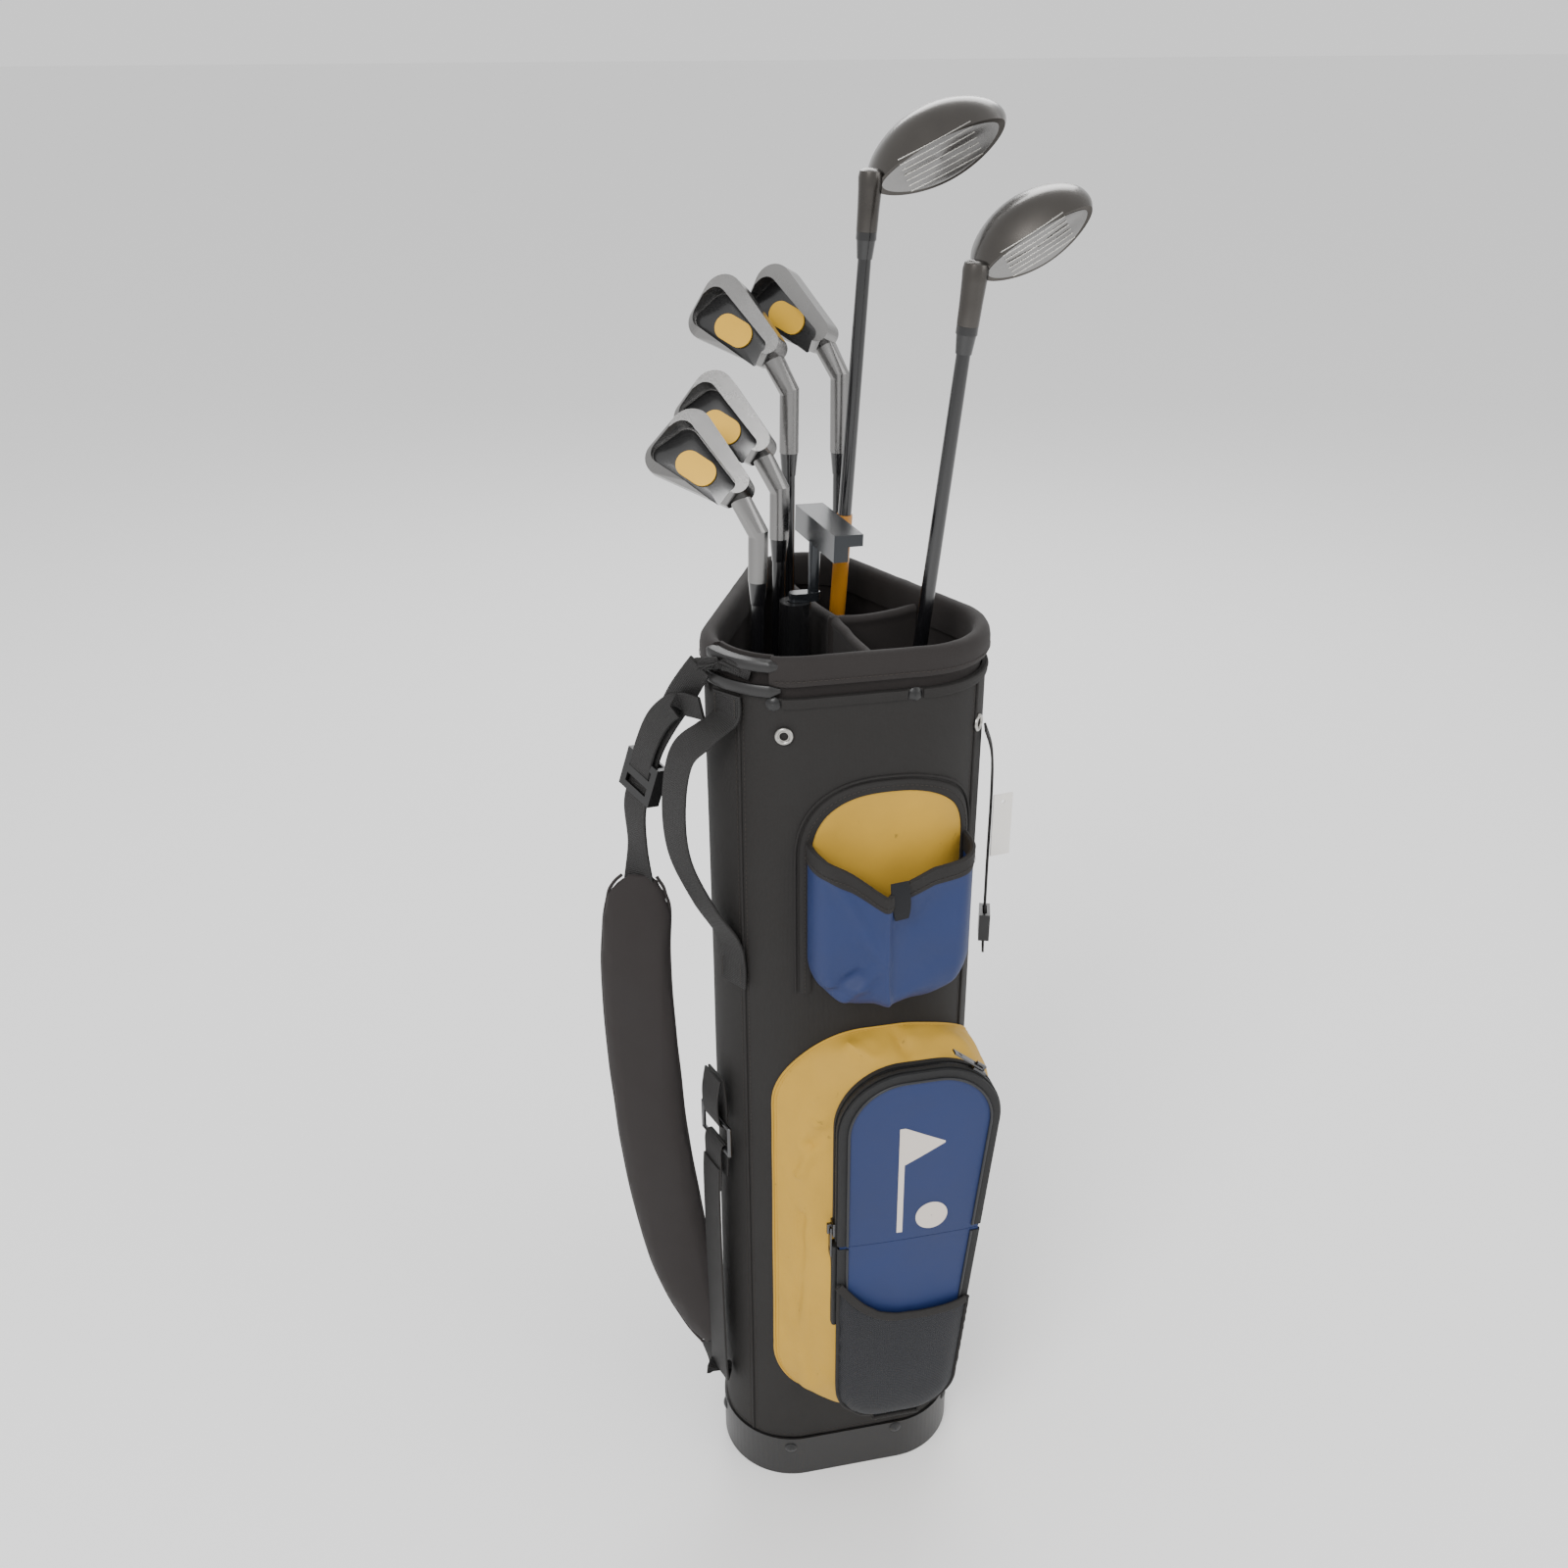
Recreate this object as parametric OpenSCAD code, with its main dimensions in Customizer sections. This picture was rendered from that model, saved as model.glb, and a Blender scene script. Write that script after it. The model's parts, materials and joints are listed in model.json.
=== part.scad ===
/* [Bag tube] */
// Height of the bag to the top of the padded cuff
bag_h = 750; // [700:10:800]
// Radius of the two front corners of the tube
corner_r = 57; // [52:1:60]
// Radius of the rounded back of the tube
back_r = 46; // [44:1:50]
// Thickness of the tube wall
wall = 3; // [2:0.5:4]
// Height of the moulded base cup
base_h = 42; // [35:1:50]
// Depth of the dividers below the mouth
divider_h = 130; // [100:5:200]

/* [Upper pocket] */
// Width of the upper pocket
up_w = 112; // [106:1:116]
// How far the upper pocket stands out from the tube
up_d = 28; // [24:1:32]
// Height of the upper pocket's blue front
up_h = 132; // [120:1:136]

/* [Lower pocket] */
// Width of the lower pocket's front
lp_w = 120; // [114:1:124]
// How far the lower pocket stands out from the tube
lp_d = 44; // [36:1:46]
// Height of the lower pocket's front
lp_h = 334; // [328:1:340]
// Height of the fold line where the zipped flap opens
flap_z = 292; // [288:1:296]

/* [Clubs] */
// Radius of a grip at its butt cap
grip_r = 12; // [11:0.5:12.5]
// Radius of a shaft at its tip
tip_r = 4.5; // [4.2:0.1:4.7]
// Lie angle of the irons
iron_lie = 52; // [50:0.5:54]
// Width of an iron's sole
sole_w = 18; // [15:0.5:20]
// Length of the driver's head, heel to toe
driver_l = 97; // [90:1:100]
// Length of the fairway wood's head, heel to toe
fairway_l = 80; // [76:1:86]

/* [Hidden] */
$fn = 48;

// Colours of the materials
black_fabric = "#1d1a19";
dark_plastic = "#3a3a3c";
blue_fabric = "#1f4fa0";
yellow_fabric = "#d9b93c";
steel = "#b9babb";
graphite = "#20242b";

// ---- Tube section: two front corners and a round back, with straight sides between ----
front_c = [40, -59];
back_c = [0, 60];
front_y = front_c[1] - corner_r;
side_span = back_c - front_c;
side_deg = atan2(side_span[1], side_span[0]) - acos((corner_r - back_r) / norm(side_span));

// Points along an arc, from one compass angle to another
arc_steps = 24;
function arc(c, r, a0, a1) = [for (i = [0:arc_steps]) let (a = a0 + (a1 - a0) * i / arc_steps)
    c + r * [cos(a), sin(a)]];

// Outline of the tube, grown by g
module section(g) polygon(concat(arc(front_c, corner_r + g, -90, side_deg),
    arc(back_c, back_r + g, side_deg, 180 - side_deg),
    arc([-front_c[0], front_c[1]], corner_r + g, 180 - side_deg, 270)));

module tube(z0, z1, outer, inner) {
    translate([0, 0, z0]) linear_extrude(z1 - z0) difference() {
        section(outer);
        section(inner);
    }
}

// A point on the tube's outside at a compass angle round one of the front corners
function corner_point(side, deg, out) = [side * front_c[0], front_c[1]]
    + (corner_r + out) * [cos(deg), sin(deg)];

// ---- Swept bands: a flat band that follows smooth curves through hand-placed points ----
function cr(a, b, c, d, t) = 0.5 * (2 * b + (c - a) * t + (2 * a - 5 * b + 4 * c - d) * t * t
    + (3 * b - a - 3 * c + d) * t * t * t);
function smooth(p, steps) = let (n = len(p)) [for (i = [0:n - 2], k = [0:steps - 1])
    cr(p[max(i - 1, 0)], p[i], p[i + 1], p[min(i + 2, n - 1)], k / steps), p[n - 1]];
function unit(v) = v / norm(v);
function tangent(p, i) = unit(p[min(i + 1, len(p) - 1)] - p[max(i - 1, 0)]);
function square_to(w, t) = unit(w - (w * t) * t);

// Corners of one ring: a flat octagon w wide and t thick
function band_ring(p, tan, across, w, t) = let (a = square_to(across, tan), n = cross(tan, a),
    c = min(t * 0.35, w * 0.2))
    [for (k = [[w / 2, t / 2 - c], [w / 2 - c, t / 2], [c - w / 2, t / 2], [-w / 2, t / 2 - c],
        [-w / 2, c - t / 2], [c - w / 2, -t / 2], [w / 2 - c, -t / 2], [w / 2, c - t / 2]])
        p + k[0] * a + k[1] * n];

// route rows are [point, direction across the band, width, thickness]
module band(route, steps) {
    p = smooth([for (r = route) r[0]], steps);
    a = smooth([for (r = route) r[1]], steps);
    w = smooth([for (r = route) r[2]], steps);
    t = smooth([for (r = route) r[3]], steps);
    rings = [for (i = [0:len(p) - 1]) band_ring(p[i], tangent(p, i), a[i], w[i], t[i])];
    sides = [for (i = [0:len(p) - 2], k = [0:7]) let (a0 = i * 8 + k, b0 = i * 8 + (k + 1) % 8)
        each [[a0, a0 + 8, b0 + 8], [a0, b0 + 8, b0]]];
    last = (len(p) - 1) * 8;
    polyhedron([for (r = rings) each r], concat(sides, [[for (k = [0:7]) k]],
        [[for (k = [7:-1:0]) last + k]]), convexity = 8);
}

// ---- Bag ----
cuff_h = 18;
cuff_out = 2;
cuff_z = bag_h - cuff_h;
collar_z = bag_h - 60;
floor_t = 6;
cup_gap = 0.4;
slot_deg = [196, 246];          // span of the strap slot round the left front corner

module base_cup() color(dark_plastic) difference() {
    union() {
        tube(floor_t, base_h, 2.4, cup_gap);
        linear_extrude(floor_t) section(2.4);
    }
    for (r = base_rivets_at) rivet_hole(r);
}

rivet_r = 2;
base_rivets_at = [[corner_point(-1, 257, 2.4), 257, 32], [[38, front_y - 2.4], 270, 36],
    [corner_point(1, -35, 2.4), -35, 36], [[0, back_c[1] + back_r + 2.4], 90, 32],
    [corner_point(-1, 180, 2.4), 180, 32]];
snap_rivets_at = [[corner_point(-1, 248, 0), 248, 719], [[33, front_y], 270, 719]];

module rivet_axis(r) translate([r[0][0], r[0][1], r[2]]) rotate([0, 0, r[1]]) rotate([0, 90, 0]) children();
module rivet_hole(r) rivet_axis(r) translate([0, 0, -8]) cylinder(r = rivet_r + 0.1, h = 16);
module rivet(r, out, grip) rivet_axis(r) {
    translate([0, 0, out]) intersection() {
        cylinder(r = 5, h = 2);
        translate([0, 0, -6]) sphere(r = 8);
    }
    translate([0, 0, -grip]) cylinder(r = rivet_r, h = grip + out + 0.5);
    translate([0, 0, -grip - 1.2]) cylinder(r = 3.6, h = 1.2);
}

module rivets() color("#2b2b2d") {
    for (r = base_rivets_at) rivet(r, 0.1, 7);
    for (r = snap_rivets_at) rivet(r, 0.1, 6.3);
}

// The tube is sewn from four panels that meet at vertical seams
seams_at = [corner_point(-1, 223.6, 90), corner_point(1, -43.6, 90), [114, 192], [-114, 192]];
seam_gap = 0.15;
seam_reach = 0.85;             // carries a sector's tip well outside the tube
module panel_sector(i) linear_extrude(bag_h) offset(delta = -seam_gap / 2)
    polygon([[0, -10], seams_at[i], (seams_at[i] + seams_at[(i + 1) % 4]) * seam_reach, seams_at[(i + 1) % 4]]);
module body_tube() difference() {
    tube(floor_t + 0.3, bag_h - 20, 0, -wall);
    for (r = base_rivets_at) rivet_hole(r);
    for (r = snap_rivets_at) rivet_hole(r);
    for (e = eyelets_at) rivet_axis(e) translate([0, 0, -8]) cylinder(r = eyelet_hole_r + 1.6, h = 16);
    slot_cut(bag_h - 26);
}
module body_panel(i) color(black_fabric) intersection() {
    body_tube();
    panel_sector(i);
}
module body_front() body_panel(0);
module body_right() body_panel(1);
module body_back() body_panel(2);
module body_left() body_panel(3);

eyelet_hole_r = 3;
eyelets_at = [[corner_point(-1, 255, 0), 255, 697], [corner_point(1, -40, 0), -40, 685]];

module eyelet_ring(r0) rotate_extrude() translate([r0, 0]) circle(r = 1.3);
module eyelets() color(steel) for (e = eyelets_at) rivet_axis(e) {
    translate([0, 0, 1.5]) eyelet_ring(4.9);
    difference() {
        translate([0, 0, -4.6]) cylinder(r = eyelet_hole_r + 1.5, h = 6.4);
        translate([0, 0, -8]) cylinder(r = eyelet_hole_r, h = 16);
    }
}

// Moulded ring inside the mouth, with two rails that stand out at the strap slot
module slot_arc(a0, a1) translate([-front_c[0], front_c[1], 0]) rotate([0, 0, a0])
    rotate_extrude(angle = a1 - a0) children();

// Clears the strap slot out of a ring, from z0 up
module slot_cut(z0) slot_arc(slot_deg[0] - 1, slot_deg[1] + 1)
    translate([corner_r - 5.5, z0]) square([20, 60]);

module top_collar() color(dark_plastic) difference() {
    union() {
        tube(collar_z, bag_h - 4, -wall - 0.3, -wall - 3);
        slot_arc(slot_deg[0], slot_deg[1]) translate([corner_r, bag_h])
            polygon([[-4, -8], [4.5, -8], [4.5, -1], [1.2, -1], [1.2, -5], [-4, -5]]);
        slot_arc(slot_deg[0], slot_deg[1]) translate([corner_r + 1.2, bag_h - 25]) square([3.8, 8]);
        for (d = [slot_deg[0], slot_deg[1] - 3]) slot_arc(d - 0.4, d + 3.4)
            translate([corner_r - 4, bag_h - 25.4]) square([9.4, 24]);
    }
    for (e = eyelets_at) rivet_axis(e) translate([0, 0, -12]) cylinder(r = eyelet_hole_r + 2.2, h = 16);
    for (r = snap_rivets_at) rivet_hole(r);
}

// Padded roll that covers the collar everywhere but at the slot
module cuff_roll() difference() {
    union() {
        tube(cuff_z, bag_h - 2, cuff_out, 0.3);
        tube(bag_h - 3.7, bag_h, cuff_out - 1, -9);
        tube(bag_h - 24, bag_h - 3.6, -6.4, -9);
    }
    slot_cut(bag_h - 26);
}
module top_cuff() color("#241d1c") {
    cuff_roll();
    top_welt();
}

// Three padded walls that meet off centre and split the mouth, ending just inside the cuff
hub = [3, -14];
divider_ends = [[13.5, front_y + 9.7], [65.5, -3], [-15, back_c[1] + back_r - 14]];
divider_t = 6;
divider_z = bag_h - 10 - divider_h;
module divider_arm(d) translate([hub[0], hub[1], divider_z]) rotate([0, 0, atan2(d[1], d[0])])
    rotate([90, 0, 90]) translate([0, 0, 2]) linear_extrude(norm(d) - 2) {
        translate([-divider_t / 2, 1]) square([divider_t, divider_h - 4]);
        translate([0, divider_h - 4]) circle(r = divider_t / 2 + 0.6);
    }
module divider() color("#201c1b") {
    translate([hub[0], hub[1], divider_z]) cylinder(r = 6, h = divider_h);
    for (e = divider_ends) divider_arm(e - hub);
}

module top_welt() difference() {
    tube(bag_h - 32, bag_h - 28, 1.8, 0.2);
    for (r = snap_rivets_at) rivet_axis(r) translate([0, 0, -8]) cylinder(r = 6, h = 16);
    slot_cut(bag_h - 40);
}

// ---- Upper pocket: an open pouch on the front ----
up_x = 18;
up_z = 488;
up_mouth = up_z + up_h;
up_arch_z = 606;
up_arch_w = 110;

// Round-cornered upright outline, centred on x
module upright(w, h, r) {
    for (s = [-1, 1]) translate([s * (w / 2 - r), r]) circle(r = r);
    translate([-w / 2, r]) square([w, h - r]);
    translate([-w / 2 + r, 0]) square([w - 2 * r, h]);
}
module arch(w, h) {
    translate([-w / 2, 0]) square([w, h - w * 0.36]);
    intersection() {
        translate([0, h - w * 0.36]) circle(r = w / 2);
        translate([-w / 2, h - w * 0.36]) square([w, w * 0.36]);
    }
}
module to_front(x, z, y0, y1) translate([x, y1, z]) rotate([90, 0, 0]) linear_extrude(y1 - y0) children();
module off_tube(g) difference() {
    children();
    translate([0, 0, -10]) linear_extrude(bag_h + 50) section(g);
}

module pouch_tab() translate([up_x - 12, front_y - up_d - 2.3, up_mouth - 38]) cube([18, 2, 16]);
module pouch() off_tube(2.2) difference() {
    to_front(up_x, up_z, front_y - up_d, front_y + 42) upright(up_w, up_h, 24);
    to_front(up_x, up_z + 3, front_y - up_d + 3, front_y + 60) upright(up_w - 6, up_h, 22);
}
module upper_pocket_front() color(blue_fabric) {
    pouch();
    pouch_tab();
}

module pocket_lining() intersection() {
    tube(up_z + 10, bag_h, 1.6, 0.3);
    to_front(up_x, up_z, front_y - 10, front_y + 50) arch(up_arch_w, up_arch_z - up_z + 44);
}

module pocket_trim() intersection() {
    tube(up_z + 10, bag_h, 2, 0.3);
    to_front(up_x, up_z, front_y - 10, front_y + 50) difference() {
        arch(up_arch_w + 16, up_arch_z - up_z + 52);
        arch(up_arch_w + 1, up_arch_z - up_z + 44.5);
    }
}

module upper_pocket_back() color(yellow_fabric) {
    pocket_lining();
    pocket_trim();
}

// ---- Lower pocket: zipped box pocket with a mesh pocket on its front ----
lp_x = 35;
lp_foot_w = 96;
lp_foot_x = (lp_foot_w - lp_w) / 2;
lp_z = 110;
lp_y = front_y - lp_d;
lp_top = lp_z + lp_h;
zip_w = 12;

// Front outline: two big shoulders on top and a narrower foot set to the left
module lp_outline(grow) hull() {
    for (s = [-1, 1]) {
        translate([lp_foot_x + s * (lp_foot_w / 2 - 36), 36]) circle(r = 36 + grow);
        translate([s * (lp_w / 2 - shoulder_r), lp_h - shoulder_r]) circle(r = shoulder_r + grow);
    }
}
// Yellow side wall that slants back to the tube, open at the front
module lp_solid(g) hull() {
    to_front(lp_x, lp_z, lp_y + zip_w, lp_y + zip_w + 1) lp_outline(1 - g);
    to_front(16, lp_z, front_y + 8, front_y + 9) resize([164 - 2 * g, 0]) lp_outline(14 - g);
    to_front(60, lp_z, front_y + 36, front_y + 37) resize([78 - 2 * g, 0]) lp_outline(14 - g);
}
module lower_pocket_gusset() color(yellow_fabric) off_tube(0.3) difference() {
    lp_solid(0);
    lp_solid(3);
    to_front(lp_x, lp_z, lp_y - 1, lp_y + zip_w + 6) lp_outline(-2);
}

module zip_band(z0, z1) intersection() {
    to_front(lp_x, lp_z, lp_y + 3.3, lp_y + zip_w - 0.2) difference() {
        lp_outline(1);
        lp_outline(-2);
    }
    translate([-100, lp_y - 20, z0]) cube([300, 60, z1 - z0]);
}
tab_x = lp_x - lp_w / 2;
module pocket_zipper() color("#101113") {
    zip_band(flap_z + 2, lp_top + 20);
    translate([tab_x - 5, lp_y + 1, flap_z - 80]) cube([4, 8, 60]);
}

// Fixed lower half of the front
module lower_pocket_panel() color(blue_fabric) difference() {
    to_front(lp_x, lp_z, lp_y, lp_y + zip_w - 0.2) lp_outline(0);
    to_front(lp_x, lp_z, lp_y + 3, lp_y + zip_w + 2) lp_outline(-3);
    translate([-100, lp_y - 5, flap_z - 1]) cube([300, 60, 300]);
}

module mesh_pocket() color("#12151f") difference() {
    intersection() {
        to_front(lp_x, lp_z - 3, lp_y - 14, lp_y - 0.3) lp_outline(1);
        translate([-60, lp_y - 40, lp_z - 10]) cube([200, 60, 150]);
    }
    intersection() {
        to_front(lp_x, lp_z - 3, lp_y - 12, lp_y + 5) lp_outline(-2);
        translate([-60, lp_y - 40, lp_z + 6]) cube([200, 38.2, 150]);
    }
}

// Flap: upper part of the front that opens when the zipper is undone
module flap_panel() color(blue_fabric) difference() {
    to_front(lp_x, lp_z, lp_y, lp_y + 3) lp_outline(0);
    translate([-100, lp_y - 5, lp_z - 30]) cube([300, 60, flap_z - lp_z + 30]);
}

// Pictogram of a ball and a flag on its pole
module flap_emblem() color("white") to_front(lp_x - 2, 0, lp_y - 0.9, lp_y - 0.1) {
    translate([-14, flap_z + 6]) square([4, 100]);
    polygon([[-10, flap_z + 106], [22, flap_z + 90], [-10, flap_z + 72]]);
    translate([12, flap_z + 18]) circle(r = 12);
}

// Sliders run on the zipper, pull tabs swing on them
slider_left_at = [tab_x - 0.8, lp_y + 7, flap_z + 14];
shoulder_r = 48;
park_deg = 39;
slider_right_at = [lp_x + lp_w / 2 - shoulder_r + (shoulder_r + 0.8) * sin(park_deg), lp_y + 7,
    lp_top - shoulder_r + (shoulder_r + 0.8) * cos(park_deg)];
pull_l = 26;

module slider_body() {
    translate([-3.2, -4, -6]) cube([2.4, 8, 12]);
    for (z = [-4.4, 2]) translate([-5.5, -1.2, z]) cube([2.6, 2.4, 2.4]);
    translate([-6.9, -1.2, -4.4]) cube([1.6, 2.4, 8.8]);
}
module pull_tab() difference() {
    translate([-4.9, -3, -pull_l]) cube([1.2, 6, pull_l + 1.7]);
    translate([-6, -1.6, -6.2]) cube([4, 3.2, 6.6]);
    translate([-6, 0, -pull_l + 6]) rotate([0, 90, 0]) cylinder(r = 1.8, h = 4);
}
module at_left() translate(slider_left_at) children();
module at_right() translate(slider_right_at) rotate([0, 90 + park_deg, 0]) children();
module slider_left() color(steel) at_left() slider_body();
module pull_left() color(steel) at_left() pull_tab();
module slider_right() color(steel) at_right() slider_body();
module pull_right() color(steel) at_right() pull_tab();

// ---- Handle, straps and their hardware ----
out_left = unit([-0.82, -0.57, 0]);
along_left = unit([-0.57, 0.82, 0]);
web_t = 2.4;

carry_handle_route = [
    [[-88.5, -93.3, 722], along_left, 25, web_t], [[-90, -94.6, 706], along_left, 25, web_t],
    [[-104, -98, 696], along_left, 24, web_t], [[-120, -92, 678], along_left, 23, web_t],
    [[-126, -89, 640], along_left, 23, web_t], [[-123, -88, 600], along_left, 23, web_t],
    [[-108, -90, 562], along_left, 24, web_t], [[-93, -94, 536], along_left, 25, web_t],
    [[-89, -94.2, 518], along_left, 25, web_t], [[-88.8, -93.8, 496], along_left, 25, web_t]];
module carry_handle() color("#23211f") band(carry_handle_route, 3);

ring_c = [-103, -81, 356];
ring_w = 45;
ring_h = 28;
ring_wire = 1.7;
ring_deg = atan2(0.95, -0.32);
module ring_frame() translate(ring_c) rotate([0, 0, ring_deg]) children();

// Webbing loops sewn to the bag: one in the collar slot, one that holds the ring
module strap_loops() color("#23211f") {
    slot_arc(211, 233) translate([corner_r + 0.6, bag_h - 16.6]) square([2.6, 8.2]);
    ring_frame() for (y = [-1, 1]) translate([-12, (y > 0 ? 2.4 : -4.6), ring_h / 2 - 7])
        cube([24, 2.2, 44]);
    ring_frame() translate([-12, -4.6, ring_h / 2 - 7]) cube([24, 9.2, 2]);
}

module strap_ring() color(steel) ring_frame() {
    for (s = [-1, 1]) {
        translate([s * (ring_w / 2 - ring_wire), 0, -ring_h / 2 + ring_wire])
            cylinder(r = ring_wire, h = ring_h - 2 * ring_wire);
        translate([-ring_w / 2 + ring_wire, 0, s * (ring_h / 2 - ring_wire)]) rotate([0, 90, 0])
            cylinder(r = ring_wire, h = ring_w - 2 * ring_wire);
        for (q = [-1, 1]) translate([s * (ring_w / 2 - ring_wire), 0, q * (ring_h / 2 - ring_wire)])
            sphere(r = ring_wire);
    }
}

glide_c = [-140, -37, 640];
glide_across = unit([0.5, -0.87, 0]);
glide_along = unit([14, -4, 48]);
glide_c_row = [glide_c, glide_across, 25, web_t];
upper_webbing_route = [
    [[-104, -82, 738], [0.4, -0.5, 0.1], 18, web_t], [[-111, -68, 719], [0.5, -0.5, 0.3], 20, web_t],
    [[-121, -50, 692], [0.5, -0.8, 0.1], 22, web_t], [[-133, -39, 664], glide_across, 24, web_t],
    glide_c_row, [[-147, -35, 616], glide_across, 25, web_t],
    [[-147, -38, 585], [0.5, -0.8, 0], 24, web_t], [[-148, -41, 562], [0.8, -0.5, 0], 24, web_t]];
module strap_upper_webbing() color("#23211f") band(upper_webbing_route, 3);

pad_route = [
    [[-149, -42, 558], [1, -0.3, 0.1], 34, 8], [[-151, -43, 537], [1, -0.3, 0.1], 46, 13],
    [[-154, -44, 490], [1, -0.3, 0.05], 50, 14], [[-153, -46, 420], [1, -0.3, -0.1], 52, 14],
    [[-149, -48, 340], [1, -0.3, -0.15], 54, 14], [[-141, -50, 265], [1, -0.3, -0.25], 54, 14],
    [[-130, -54, 195], [1, -0.3, -0.35], 50, 14], [[-119, -59, 145], [1, -0.45, -0.4], 38, 12],
    [[-113, -63, 121], [1, -0.6, -0.3], 24, 8]];
module shoulder_pad() color("#2a2120") band(pad_route, 4);

lower_webbing_route = [
    [[-111, -65, 113], [0.8, -0.6, 0], 20, web_t], [[-107.5, -71, 99], [0.5, -0.8, 0], 22, web_t],
    [[-106, -79, 98], [0.4, -0.9, 0], 24, web_t], [[-107, -82, 130], [0.33, -0.94, 0], 25, web_t],
    [[-108, -82, 220], [0.33, -0.94, 0], 25, web_t], [[-108.5, -82, 300], [0.33, -0.94, 0], 25, web_t],
    [[-108.5, -82.5, 337], [0.33, -0.94, 0], 25, web_t]];
module strap_lower_webbing() color("#23211f") band(lower_webbing_route, 3);

// Puts what is drawn with its width along +X and its length along +Z on the line of the webbing
module glide_frame() {
    x = square_to(glide_across, glide_along);
    y = cross(glide_along, x);
    multmatrix([for (i = [0:2]) [x[i], y[i], glide_along[i], glide_c[i]]]) children();
}
// Three-bar adjuster that grips the upper webbing
module tri_glide() color("#161616") glide_frame() difference() {
    translate([-18, -5, -15]) cube([36, 10, 30]);
    translate([-14.5, -3, -20]) cube([29, 6, 40]);
    for (z = [-9.5, 3]) translate([-12, -10, z]) cube([24, 20, 6.5]);
}

// ---- Right-hand strap, its lock and the blank tag ----
side_route = [
    [[95, -85, 670], [0.3, 0.9, 0], 10, 2], [[101, -83, 655], [0.3, 0.9, 0], 10, 2],
    [[103, -82, 620], [0.3, 0.9, 0], 10, 2], [[103, -82, 560], [0.3, 0.9, 0], 10, 2],
    [[103.5, -82, 500], [0.3, 0.9, 0], 10, 2]];
module side_strap() color("#1b1918") band(side_route, 4);
lock_c = [103.4, -82, 514];
module cord_lock() color("#303033") translate(lock_c) rotate([0, 0, 72]) difference() {
    translate([-9, -4, -11]) cube([18, 8, 22]);
    translate([-6, -1.6, -20]) cube([12, 3.2, 40]);
}
tag_pin = [108.5, -91, 622];
module hang_tag() color("#e9e7e2") translate(tag_pin) rotate([0, 0, 8]) difference() {
    translate([-7.5, -0.6, -46]) cube([15, 1.2, 49]);
    translate([0, -5, -3]) rotate([-90, 0, 0]) cylinder(r = 1.5, h = 10);
}

// ---- Clubs: drawn upright on their butt, head at the top, then leaned into place ----
// Each row: butt centre, axis point at the mouth, height of the sole point along the axis, toe compass
// and, for an iron, the length of its hosel
butt_z = floor_t + 3;
driver_at = [[-22.9, 61.4], [18.5, 33.4], 1032, -12];
fairway_at = [[-16, -30], [52.7, -66], 989, -12];
iron5_at = [[28.2, 68.7], [23.9, 59.4], 913, 122, 84];
iron7_at = [[-30, 34], [-20.6, 32.2], 909, 122, 72];
iron9_at = [[-47, -6], [-35, -4], 851, 122, 64];
wedge_at = [[-73, -47], [-58, -45], 834, 122, 63];
putter_at = [[-51, -33], [-29, -30], 808, -84];

// Moves a club drawn along +Z with its toe along +X to its place in the bag
module in_bag(at) {
    lean = [at[1][0] - at[0][0], at[1][1] - at[0][1], bag_h - butt_z];
    az = atan2(lean[1], lean[0]);
    tilt = acos(lean[2] / norm(lean));
    translate([at[0][0], at[0][1], butt_z]) rotate([0, 0, az]) rotate([0, tilt, 0])
        rotate([0, 0, at[3] - az]) children();
}

grip_l = 235;
ferrule_l = 16;
butt_shaft_r = 6.6;
function shaft_r(z, l) = butt_shaft_r + (tip_r - butt_shaft_r) * min(1, z / l);

module grip(l) difference() {
    union() {
        cylinder(r1 = grip_r, r2 = 8.4, h = grip_l);
        cylinder(r = grip_r + 0.4, h = 4);
    }
    translate([0, 0, 6]) cylinder(r1 = shaft_r(6, l) + 0.15, r2 = shaft_r(grip_l + 1, l) + 0.15, h = grip_l);
}
module shaft(l, tip_in) {
    translate([0, 0, 6.2]) cylinder(r1 = shaft_r(6.2, l), r2 = tip_r, h = l - 6.2);
    translate([0, 0, l]) cylinder(r = tip_r, h = tip_in);
}
module iron_shaft(l) {
    shaft(l, 26);
    translate([0, 0, l - ferrule_l]) cylinder(r1 = tip_r + 0.5, r2 = 6.4, h = ferrule_l - 0.1);
}

// Rod along the thickness of a head, from y0 to y1
module rod(x, z, r, y0, y1) translate([x, y0, z]) rotate([-90, 0, 0]) cylinder(r = r, h = y1 - y0, $fn = 32);

// Puts a head drawn flat (toe +X, back +Y, sole at the top) at its lie and loft
module lay(lie, loft) rotate([0, -(90 - lie), 0]) rotate([loft, 0, 0]) children();

blade_l = 71;
face_y = -5;
module blade_outline(toe, y0, y1, ys, inset) hull() {
    rod(7, -9, 8 - inset / 2, y0, ys);
    rod(blade_l - 16, -15, 15 - inset, y0, ys);
    rod(6, -21, 4 - min(inset, 3), y0, y1);
    rod(blade_l - 14, 13 - toe, 13 - inset, y0, y1);
}
module iron_head(loft, toe, hosel) difference() {
    union() {
        lay(iron_lie, loft) blade_outline(toe, face_y, face_y + 5, face_y + sole_w, 0);
        translate([0, 0, -hosel]) cylinder(r = 6.7, h = hosel - 28);
        hull() {
            translate([0, 0, -32]) cylinder(r = 6.7, h = 4, $fn = 32);
            lay(iron_lie, loft) rod(9, -13, 7, face_y, face_y + 9);
        }
    }
    lay(iron_lie, loft) translate([2, 0, -6]) blade_outline(toe - 6, face_y + 3.5, face_y + 30, face_y + 30, 6);
    translate([0, 0, -hosel - 1]) cylinder(r = tip_r + 0.1, h = 29);
}
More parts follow.
